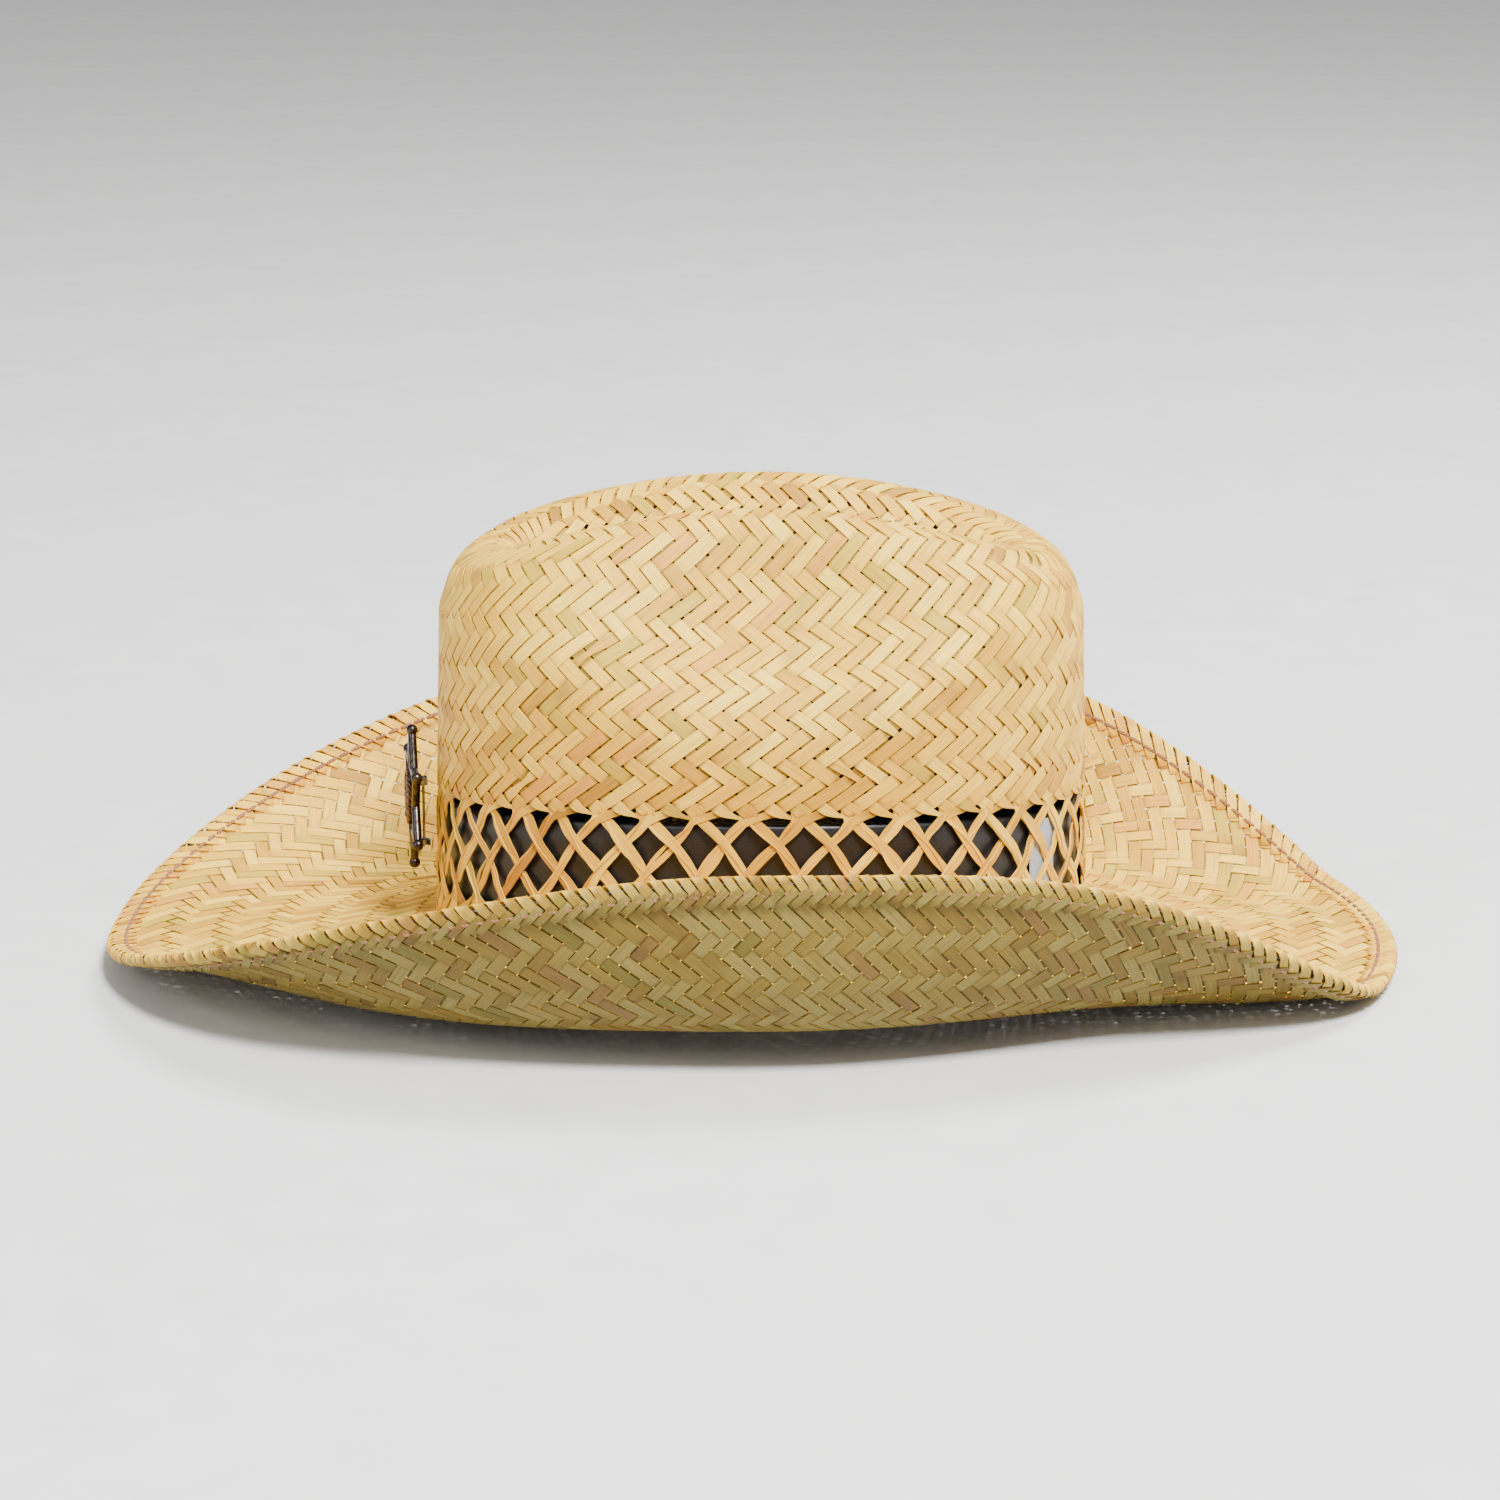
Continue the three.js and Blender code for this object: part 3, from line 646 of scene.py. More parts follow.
# ---- Finishes --------------------------------------------------------------------------------


def set_inputs(tree: NodeTree, node: Node, inputs: dict) -> None:
    """Gives a node its inputs.

    Args:
        tree: The node tree.
        node: The node.
        inputs: Values or output sockets, by the input's name or number.
    """
    for key, value in inputs.items():
        if isinstance(value, NodeSocket):
            tree.links.new(value, node.inputs[key])
        else:
            node.inputs[key].default_value = value


def add_node(tree: NodeTree, kind: str, settings: dict | None = None,
             inputs: dict | None = None) -> Node:
    """Adds a node, sets it up and links it.

    Args:
        tree: The node tree.
        kind: The node's type name.
        settings: Attributes of the node.
        inputs: Values or output sockets for its inputs, by name or number.

    Returns:
        The node.
    """
    node = tree.nodes.new(kind)
    for key, value in (settings or {}).items():
        setattr(node, key, value)
    set_inputs(tree, node, inputs or {})
    return node


def noise(tree: NodeTree, vector: NodeSocket, scale: float, detail: float = 2.0,
          roughness: float = 0.5) -> NodeSocket:
    """Adds a noise texture.

    Args:
        tree: The node tree.
        vector: Where it is read.
        scale: Its scale.
        detail: Its octaves.
        roughness: How strong the finer octaves are.

    Returns:
        The noise, from 0 to 1.
    """
    return add_node(tree, "ShaderNodeTexNoise", inputs={
        "Vector": vector, "Scale": scale, "Detail": detail, "Roughness": roughness}).outputs["Fac"]


def stretched(tree: NodeTree, length: float, width: float) -> NodeSocket:
    """Places along and across the strips.

    Args:
        tree: The node tree.
        length: Unit along the strips.
        width: Unit across them.

    Returns:
        The places, in those units.
    """
    lay = add_node(tree, "ShaderNodeUVMap", {"uv_map": UV_MAP})
    return add_node(tree, "ShaderNodeMapping", inputs={
        "Vector": lay.outputs["UV"], "Scale": (1 / length, 1 / width, 1)}).outputs["Vector"]


def tinted(tree: NodeTree, colour: NodeSocket,
           veil: NodeSocket) -> NodeSocket:
    """One colour multiplied by another."""
    return add_node(tree, "ShaderNodeMix", {"data_type": "RGBA", "blend_type": "MULTIPLY"},
                    {0: 1.0, 6: colour, 7: veil}).outputs[2]


def bump(tree: NodeTree, height: NodeSocket, strength: float,
         distance: float) -> NodeSocket:
    """Normals bent by a height."""
    return add_node(tree, "ShaderNodeBump", inputs={
        "Height": height, "Strength": strength, "Distance": distance}).outputs["Normal"]


def spread(tree: NodeTree, factor: NodeSocket, low: float,
           high: float) -> NodeSocket:
    """A value between two ends."""
    return add_node(tree, "ShaderNodeMapRange", inputs={
        "Value": factor, "To Min": low, "To Max": high}).outputs["Result"]


def on_piece(tree: NodeTree) -> NodeSocket:
    """Places on the piece itself."""
    return add_node(tree, "ShaderNodeTexCoord").outputs["Object"]


def ramp(tree: NodeTree, factor: NodeSocket,
         stops: Sequence[tuple[float, tuple]]) -> NodeSocket:
    """Adds a colour ramp.

    Args:
        tree: The node tree.
        factor: What drives the ramp.
        stops: Pairs of place and colour.

    Returns:
        The ramp's colour.
    """
    node = add_node(tree, "ShaderNodeValToRGB", inputs={"Fac": factor})
    elements = node.color_ramp.elements
    while len(elements) < len(stops):
        elements.new(0.5)
    for element, (place, colour) in zip(elements, stops):
        element.position = place
        element.color = colour
    return node.outputs["Color"]


def new_material(name: str) -> tuple[Material, NodeTree, Node]:
    """A material with an empty Principled shader.

    Args:
        name: The material's name.

    Returns:
        The material, its node tree and its shader node.
    """
    material = bpy.data.materials.new(name)
    material.use_nodes = True
    tree = material.node_tree
    tree.nodes.clear()
    shader = tree.nodes.new("ShaderNodeBsdfPrincipled")
    out = tree.nodes.new("ShaderNodeOutputMaterial")
    tree.links.new(shader.outputs["BSDF"], out.inputs["Surface"])
    return material, tree, shader


@dataclass(frozen=True)
class StrawFinish:
    """Split and dried palm straw, woven damp and lightly lacquered: satin strips with fine
    lengthwise grain, each strip a little different in colour."""

    name: str = "straw_palm_split_and_woven"
    grain_width: float = 0.55 * MM      # real fibres are finer; drawn as coarse as needed to show
    grain_length: float = 14 * MM
    blotch_width: float = 6 * MM
    blotch_length: float = 22 * MM
    roughness: float = 0.55

    def make(self) -> Material:
        """Builds the material, from each strip's tint, its grain and soft blotches.

        Returns:
            The material.
        """
        material, tree, shader = new_material(self.name)
        tint = add_node(tree, "ShaderNodeVertexColor", {"layer_name": TINT}).outputs["Color"]
        grain = noise(tree, stretched(tree, self.grain_length, self.grain_width), 1.0, 3.0, 0.65)
        blotch = noise(tree, stretched(tree, self.blotch_length, self.blotch_width), 1.0)
        streak = ramp(tree, grain, [(0.28, (0.66, 0.6, 0.5, 1)), (0.48, (0.95, 0.94, 0.9, 1)),
                                    (0.72, (1.12, 1.12, 1.1, 1))])
        patch = ramp(tree, blotch, [(0.3, (0.9, 0.87, 0.82, 1)), (0.6, (1.03, 1.03, 1.02, 1))])
        set_inputs(tree, shader, {
            "Base Color": tinted(tree, tinted(tree, tint, streak), patch),
            "Normal": bump(tree, grain, 0.6, 0.2 * MM),
            "Roughness": spread(tree, grain, self.roughness + 0.12, self.roughness - 0.08),
            "Specular IOR Level": 0.35,
            "Specular Tint": (1.0, 0.84, 0.5, 1.0),
            "Subsurface Weight": 0.08,
            "Subsurface Radius": (1.0, 0.6, 0.3),
            "Subsurface Scale": 1.2 * MM,
        })
        return material


@dataclass(frozen=True)
class MetalFinish:
    """Cast and plated metal: dark in its pores, brighter where it has been handled."""

    name: str
    dark: str
    bright: str
    roughness: float
    grain: float = 1.6 * MM
    bump: float = 0.06 * MM

    def make(self) -> Material:
        """Builds the material, with one noise for its colour, its shine and its pores.

        Returns:
            The material.
        """
        material, tree, shader = new_material(self.name)
        pores = noise(tree, on_piece(tree), 1 / self.grain, 4.0, 0.6)
        set_inputs(tree, shader, {
            "Base Color": ramp(tree, pores, [(0.35, rgba(self.dark)), (0.65, rgba(self.bright))]),
            "Roughness": spread(tree, pores, self.roughness + 0.1, self.roughness - 0.06),
            "Normal": bump(tree, pores, 0.4, self.bump),
            "Metallic": 1.0,
        })
        return material


@dataclass(frozen=True)
class BandFinish:
    """Coated cloth made to look like leather, pressed with a fine grain: dark with a soft shine."""

    name: str = "sweatband_coated_cloth_pressed_grain"
    colour: str = "#17181b"
    crest: str = "#232428"
    groove: str = "#0e0f10"
    pore: float = 0.9 * MM
    patch: float = 12 * MM

    def make(self) -> Material:
        """Builds the material, with cells for the grain and a broad noise for the shine.

        Returns:
            The material.
        """
        material, tree, shader = new_material(self.name)
        where = on_piece(tree)
        cells = add_node(tree, "ShaderNodeTexVoronoi", {"feature": "DISTANCE_TO_EDGE"}, {
            "Vector": where, "Scale": 1 / self.pore}).outputs["Distance"]
        set_inputs(tree, shader, {
            "Base Color": ramp(tree, cells, [(0.0, rgba(self.groove)), (0.12, rgba(self.colour)),
                                             (0.5, rgba(self.crest))]),
            "Roughness": spread(tree, noise(tree, where, 1 / self.patch, 3.0), 0.34, 0.5),
            "Normal": bump(tree, cells, 0.35, 0.1 * MM),
        })
        return material


@dataclass(frozen=True)
class ClothFinish:
    """Thread or narrow woven cloth: matt, with fine ribs across it."""

    name: str
    colour: str
    dark: str
    rib: float = 0.5 * MM
    bump: float = 0.08 * MM

    def make(self) -> Material:
        """Builds the material, with slanting ribs.

        Returns:
            The material.
        """
        material, tree, shader = new_material(self.name)
        lay = add_node(tree, "ShaderNodeUVMap", {"uv_map": UV_MAP})
        ribs = add_node(tree, "ShaderNodeTexWave", {"bands_direction": "DIAGONAL"}, {
            "Vector": lay.outputs["UV"], "Scale": 0.32 / self.rib, "Distortion": 1.0,
            "Detail": 1.0}).outputs["Fac"]
        set_inputs(tree, shader, {
            "Base Color": ramp(tree, ribs, [(0.1, rgba(self.dark)), (0.8, rgba(self.colour))]),
            "Normal": bump(tree, ribs, 0.5, self.bump),
            "Roughness": 0.85,
            "Sheen Weight": 0.15,
        })
        return material


@dataclass(frozen=True)
class FloorFinish:
    """Matt studio paper: pale, with the faintest mottle."""

    name: str = "studio_paper_matt"
    dark: str = "#dededd"
    pale: str = "#e4e4e3"

    def make(self) -> Material:
        """Builds the material, with its mottle.

        Returns:
            The material.
        """
        material, tree, shader = new_material(self.name)
        mottle = noise(tree, on_piece(tree), 40.0)
        set_inputs(tree, shader, {
            "Base Color": ramp(tree, mottle, [(0.3, rgba(self.dark)), (0.7, rgba(self.pale))]),
            "Roughness": 0.9,
        })
        return material


# ---- Straw colours ---------------------------------------------------------------------------


@dataclass(frozen=True)
class StrawColours:
    """The mix of strip colours in the weave, from cream to tan and olive."""

    shades: tuple = (("#fdd152", 0.22), ("#f6c445", 0.30), ("#eab53a", 0.22), ("#d7a232", 0.12),
                     ("#e2a23f", 0.05), ("#ceac38", 0.06), ("#bc892c", 0.03))
    stain: str = "#a26f30"

    def pick(self, rng: np.random.Generator, count: int, stations: int) -> np.ndarray:
        """Colours for strips, drifting a little along each one.

        Args:
            rng: Seeded source of chance.
            count: Number of strips.
            stations: Stations along each strip.

        Returns:
            Linear colours for every station.
        """
        codes = np.array([linear(code) for code, _ in self.shades])
        odds = np.array([share for _, share in self.shades])
        pairs = rng.choice(len(codes), (count, 2), p=odds / odds.sum())
        t = np.linspace(0, 1, stations)[None, :]
        where = rng.uniform(0.2, 0.8, (count, 1))
        blend = smooth(t - where, -0.06, 0.06)[..., None]
        colour = mix(codes[pairs[:, 0]][:, None], codes[pairs[:, 1]][:, None], blend)
        drift = sum(np.sin(2 * math.pi * (k * t + rng.random((count, 1)))) / k for k in (2, 5, 11))
        colour = colour * (1 + 0.045 * drift[..., None])
        spot = rng.random((count, 1)) * 6
        stain = (np.exp(-((t * 6 - spot) / 0.12) ** 2) * (rng.random((count, 1)) < 0.3))[..., None]
        return mix(colour, np.array(linear(self.stain)), 0.55 * stain)


# ---- The woven body --------------------------------------------------------------------------


def herringbone(crossing: np.ndarray) -> np.ndarray:
    """One where a strip is over at a numbered crossing, minus one where it is under."""
    return WEAVE[crossing.astype(int) % len(WEAVE)]


@dataclass
class Weave:
    """What every woven zone is made with."""

    form: HatForm
    material: Material
    strip_thick: float = 0.34 * MM
    layer: float = 0.27 * MM         # how far a strip rides above or below the middle
    unevenness: float = 0.03 * MM    # spread of that height between strips
    per_row: int = 6                 # stations in each row


@dataclass
class WovenBody(Weave):
    """The crown with its open vents: two lays of strips that pass over three and under two."""

    strips: int = 82                 # in each lay, once round the hat
    strip_width: float = 5.25 * MM
    width_spread: float = 0.025
    base_rows: float = 2.0           # close rows below the vents
    vent_rows: float = 3.4           # rows of pair crossings and the openings between them
    crown_rows: float = 16.5         # close rows from the vents to the ridge
    tail_rows: float = 1.1           # rows that run on over the ridge
    row_height: float = 4.9 * MM
    vent_low: float = 11 * MM
    tail_dive: float = 1.5 * MM      # the ends dive under the crown's top
    # Sideways shifts, as shares of the spacing of the strips.
    pair_gap: float = 0.12           # between the strips of a pair in the vents
    wander: float = 0.03             # along a strip in the close rows
    slack: float = 0.13              # along a strip in the vents
    jitter: float = 0.022            # of a whole strip
    # Widths in the vents, as shares of the width in the close rows.
    slim: tuple = (0.62, 0.74)       # the right lay and the left lay
    slim_spread: float = 0.07
    knot_nip: float = 0.14           # narrower where the pairs cross
    pair_step: float = 0.3 * MM      # one strip of a pair rides higher than the other
    # Flaws: a short narrow place in some of the strips.
    flaw_odds: float = 0.16
    flaw_nip: float = 0.5
    flaw_length: float = 0.55

    def _wall_height(self, row: np.ndarray) -> np.ndarray:
        """Height of the rows in the base band and the vents.

        Args:
            row: Rows up from the brim break.

        Returns:
            Heights above the brim break.
        """
        base = self.base_rows
        knots = [17.5 * MM, 26.9 * MM, 36.2 * MM]     # the pairs' three crossings
        rows = [-0.4, 0, base, base + 0.5, base + 1.5, base + 2.5, base + self.vent_rows]
        heights = [-1.5 * MM, 0, self.vent_low, *knots, self.form.vent_top]
        return np.interp(row, rows, heights)

    def _place(self, row: np.ndarray, turn: np.ndarray, wall: Surface, crown: Surface) -> tuple:
        """Points and outward directions at a row and turn.

        Args:
            row: Rows up from the brim break.
            turn: Turns about the hat.
            wall: The base band and vents' sheet.
            crown: The crown's sheet.

        Returns:
            The points and the directions.
        """
        first = self.base_rows + self.vent_rows
        low = self._wall_height(np.minimum(row, first)) / self.form.vent_top
        # The rows run level up the wall; higher up they stretch where the dents need more straw.
        share = np.maximum(row - first, 0) / (self.crown_rows + self.tail_rows)
        level = (self.crown_rows + self.tail_rows) * self.row_height / crown.length(turn)
        high = level * share + (1 - level) * share ** 2
        in_wall = (row <= first)[..., None]
        point = np.where(in_wall, wall.point(turn, low), crown.point(turn, high))
        below = np.minimum(low, 0)[..., None] * self.form.vent_top * np.array([0, 0, 1.0])
        normal = np.where(in_wall, wall.normal(turn, low), crown.normal(turn, high))
        return point + below * in_wall, normal

    def _over(self, row: np.ndarray) -> np.ndarray:
        """Which lay is on top.

        Args:
            row: Rows up from the brim break.

        Returns:
            One where the right-leaning strips are on top, minus one where they are underneath.
        """
        close = over_under(2 * row, lambda k: herringbone(-k))
        knot = over_under(row - self.base_rows - 0.5, lambda k: 2 * (k.astype(int) % 2) - 1)
        return mix(close, knot, self._open(row))

    def _open(self, row: np.ndarray) -> np.ndarray:
        """One in the vents, nothing in the close rows."""
        low, high = self.base_rows, self.base_rows + self.vent_rows
        return smooth(row, low - 0.1, low + 0.4) * (1 - smooth(row, high - 0.1, high + 0.55))

    def build(self) -> None:
        """Makes both lays of the crown and vents."""
        wall, crown = wall_surface(self.form), crown_surface(self.form)
        rng = np.random.default_rng(82)
        total = self.base_rows + self.vent_rows + self.crown_rows + self.tail_rows
        rows = np.arange(0, total + 1e-6, 1 / self.per_row)[None, :]
        for lay in Lay:
            index = np.arange(self.strips)[:, None]
            pair_side = np.where(index % 2 == 0, 0.5, -0.5)
            opening = self._open(rows + 0.0 * index)
            bunch = pair_side * (1 - self.pair_gap) * opening
            wander = self.wander * waves(rng, rows, self.strips, 0.9) * (1 - opening)
            slack = self.slack * waves(rng, rows, self.strips, 2.3) * opening
            shift = rng.normal(0, self.jitter, index.shape) + wander + slack + bunch
            turn = (index + lay.value * (rows - self.base_rows - 0.5) + shift) / self.strips
            row = rows + 0 * turn
            point, normal = self._place(row, turn, wall, crown)
            over = lay.value * self._over(row)
            rise = self.layer * over + rng.normal(0, self.unevenness, index.shape)
            rise = rise + opening * pair_side * self.pair_step
            rise = rise - self.tail_dive * smooth(row, total - 0.9 * self.tail_rows, total)
            width = self._widths(rng, lay, row, opening, point, total)
            tint = StrawColours().pick(rng, self.strips, rows.shape[1])
            # painted shadow where the strips dive under their neighbours, left out in the open vents
            tint = tint * mix(painted_dive_shadow(over), 1, opening[..., None])
            runs = Runs(point + normal * rise[..., None], normal, width, self.strip_thick, tint)
            make_object(f"straw_crown_{lay.name.lower()}_lay", ribbon_mesh(runs), self.material,
                        ("straw_crown", "vent_band"))

    def _widths(self, rng: np.random.Generator, lay: Lay, row: np.ndarray, opening: np.ndarray,
                point: np.ndarray, total: float) -> np.ndarray:
        """Widths of the strips: as wide as the spacing lets them, slimmer in the vents and at flaws.

        Args:
            rng: Seeded source of chance.
            lay: The lay.
            row: Rows up from the brim break.
            opening: One in the vents, nothing in the close rows.
            point: The strips' stations.
            total: Number of rows in all.

        Returns:
            The width at each station.
        """
        each = (self.strips, 1)
        room = np.maximum(spacing(point) * 0.985, 0.6 * MM)
        wide = np.minimum(self.strip_width, room) * (1 + rng.normal(0, self.width_spread, each))
        slim = self.slim[0 if lay is Lay.RIGHT else 1] + rng.normal(0, self.slim_spread, each)
        knots = 1 - self.knot_nip * np.cos(math.pi * (row - self.base_rows - 0.5)) ** 2
        flaw = rng.uniform(self.base_rows + 5, total, each)
        flawed = self.flaw_nip * (rng.random(each) < self.flaw_odds)
        nip = 1 - flawed * np.exp(-((row - flaw) / self.flaw_length) ** 2)
        return wide * mix(1, slim * knots, opening) * nip


@dataclass
class CrownTop(Weave):
    """The flat-plaited top inside the ridges, pressed down into the middle crease."""

    apart: float = 4.3 * MM          # from one strip to the next
    stations: int = 150
    slip: float = 0.12 * MM
    width_spread: float = 0.02
    rounding: float = 1.3 * MM       # how far the edge is rounded off, and tucked under the ridge
    shortest: float = 6 * MM

    def _share(self, x: np.ndarray, y: np.ndarray) -> np.ndarray:
        """How far in from the ridge a place lies.

        Args:
            x: Distance to the side.
            y: Distance to the back.

        Returns:
            From 0 at the ridge to 1 at the bottom of the crease.
        """
        form = self.form
        low, high = np.zeros_like(x), np.ones_like(x)
        halvings = 26
        for _ in range(halvings):
            mid = (low + high) / 2
            along = np.clip(np.abs(y) / mix(form.ridge_half_length, form.spine_half_length, mid), 0, 1)
            edge = form.ridge_half_width * np.sqrt(1 - along ** form.ridge_power) * (1 - mid)
            inside = np.abs(x) <= edge
            low, high = np.where(inside, mid, low), np.where(inside, high, mid)
        return low

    def _height(self, x: np.ndarray, y: np.ndarray) -> np.ndarray:
        """Height of the crown's top.

        Args:
            x: Distance to the side.
            y: Distance to the back.

        Returns:
            Heights, in the hat's own coordinates.
        """
        form = self.form
        share = self._share(x, y)
        along = np.clip(y / mix(form.ridge_half_length, form.spine_half_length, share), -1, 1)
        top = form.ridge_top - form.ridge_fall * along ** 2
        rounding = self.rounding * (1 - smooth(share, 0, 0.3))
        return top - form.crease_depth * share * share * (3 - 2 * share) - rounding

    def _chord(self, offset: np.ndarray, along: np.ndarray, beside: np.ndarray) -> tuple:
        """The stretch of a slanting line that lies inside the ridge.

        Args:
            offset: Distance of each line from the middle.
            along: Direction of the lines.
            beside: Direction that the offsets are measured in.

        Returns:
            The start and end of each stretch, and which lines have one.
        """
        reach = np.linspace(-1, 1, 801)[None, :] * self.form.ridge_half_length * 1.2
        x = offset[:, None] * beside[0] + reach * along[0]
        y = offset[:, None] * beside[1] + reach * along[1]
        edge = (np.abs(x) / self.form.ridge_half_width) ** 2 \
            + (np.abs(y) / self.form.ridge_half_length) ** self.form.ridge_power
        inside = edge < 1
        lows = np.where(inside, reach, np.inf).min(1)
        highs = np.where(inside, reach, -np.inf).max(1)
        return lows, highs, (highs - lows) > self.shortest

    def build(self) -> None:
        """Makes both lays of the crown's top."""
        rng = np.random.default_rng(5)
        half = math.sqrt(0.5)
        count = int(1.3 * self.form.ridge_half_length / self.apart)
        numbers = np.arange(-count, count + 1)
        for lay in Lay:
            along = np.array([half * lay.value, half])
            beside = np.array([half, -half * lay.value])
            lows, highs, used = self._chord(numbers * self.apart, along, beside)
            index = numbers[used][:, None]
            t = np.linspace(0, 1, self.stations)[None, :]
            run = mix(lows[used][:, None], highs[used][:, None], t)
            offset = index * self.apart + rng.normal(0, self.slip, index.shape)
            x, y = (offset * b + run * a for a, b in zip(along, beside))
            z = self._height(x, y)
            step = 0.4 * MM
            slope_x = (self._height(x + step, y) - self._height(x - step, y)) / (2 * step)
            slope_y = (self._height(x, y + step) - self._height(x, y - step)) / (2 * step)
            normal = unit(np.stack([-slope_x, -slope_y, np.ones_like(x)], -1))
            over = -lay.value * over_under(run / self.apart, lambda k: herringbone(k * lay.value + index))
            rise = self.layer * over - self.rounding * (1 - smooth(self._share(x, y), 0.02, 0.22))
            point = np.stack([x, y, z], -1) + normal * rise[..., None] + self.form.origin
            width = self.apart * 0.985 * (1 + rng.normal(0, self.width_spread, index.shape))
            # painted shadow where the strips dive under their neighbours
            tint = StrawColours().pick(rng, len(index), self.stations) * painted_dive_shadow(over)
            runs = Runs(point, normal, width, self.strip_thick, tint)
            make_object(f"crown_top_{lay.name.lower()}_lay", ribbon_mesh(runs), self.material)


@dataclass
class WovenBrim(Weave):
    """The brim: the same over-three, under-two weave, in rings of rows out to the hem."""

    strips: int = 164
    strip_width: float = 5.6 * MM
    width_spread: float = 0.02
    row_height: float = 6.1 * MM
    hem_cover: float = 2.0 * MM      # the weave ends this far inside the fold
    wander: float = 0.02             # shares of the spacing, as in the crown
    jitter: float = 0.015

    def build(self) -> None:
        """Makes both lays of the brim, each in two halves."""
        sheet = brim_surface(self.form)
        rng = np.random.default_rng(164)
        length = np.linalg.norm(np.diff(sheet.points, axis=1), axis=-1).sum(1).mean()
        row_count = (length - self.hem_cover) / self.row_height
        rows = np.arange(0, row_count, 1 / self.per_row)[None, :]
        for lay in Lay:
            index = np.arange(self.strips)[:, None]
            wander = self.wander * waves(rng, rows, self.strips, 0.8)
            jitter = rng.normal(0, self.jitter, index.shape) + wander
            turn = (index + lay.value * rows + jitter) / self.strips
            run = (rows * self.row_height / length) + 0 * turn
            point, normal = sheet.point(turn, run), sheet.normal(turn, run)
            over = lay.value * over_under(2 * rows + 0 * turn, lambda k: herringbone(-k))
            rise = self.layer * over + rng.normal(0, self.unevenness, index.shape)
            width = np.minimum(self.strip_width, spacing(point) * 1.005)
            width = width * (1 + rng.normal(0, self.width_spread, index.shape))
            tint = StrawColours().pick(rng, self.strips, rows.shape[1])
            point = point + normal * rise[..., None]
            half = self.strips // 2
            for part, some in (("a", slice(0, half)), ("b", slice(half, None))):
                # the brim strips' backs get the full painted underside shade
                runs = Runs(point[some], normal[some], width[some], self.strip_thick, tint[some],
                            tucked=1.0, over=over[some])
                make_object(f"straw_brim_{lay.name.lower()}_lay_{part}", ribbon_mesh(runs), self.material,
                            ("straw_brim",))


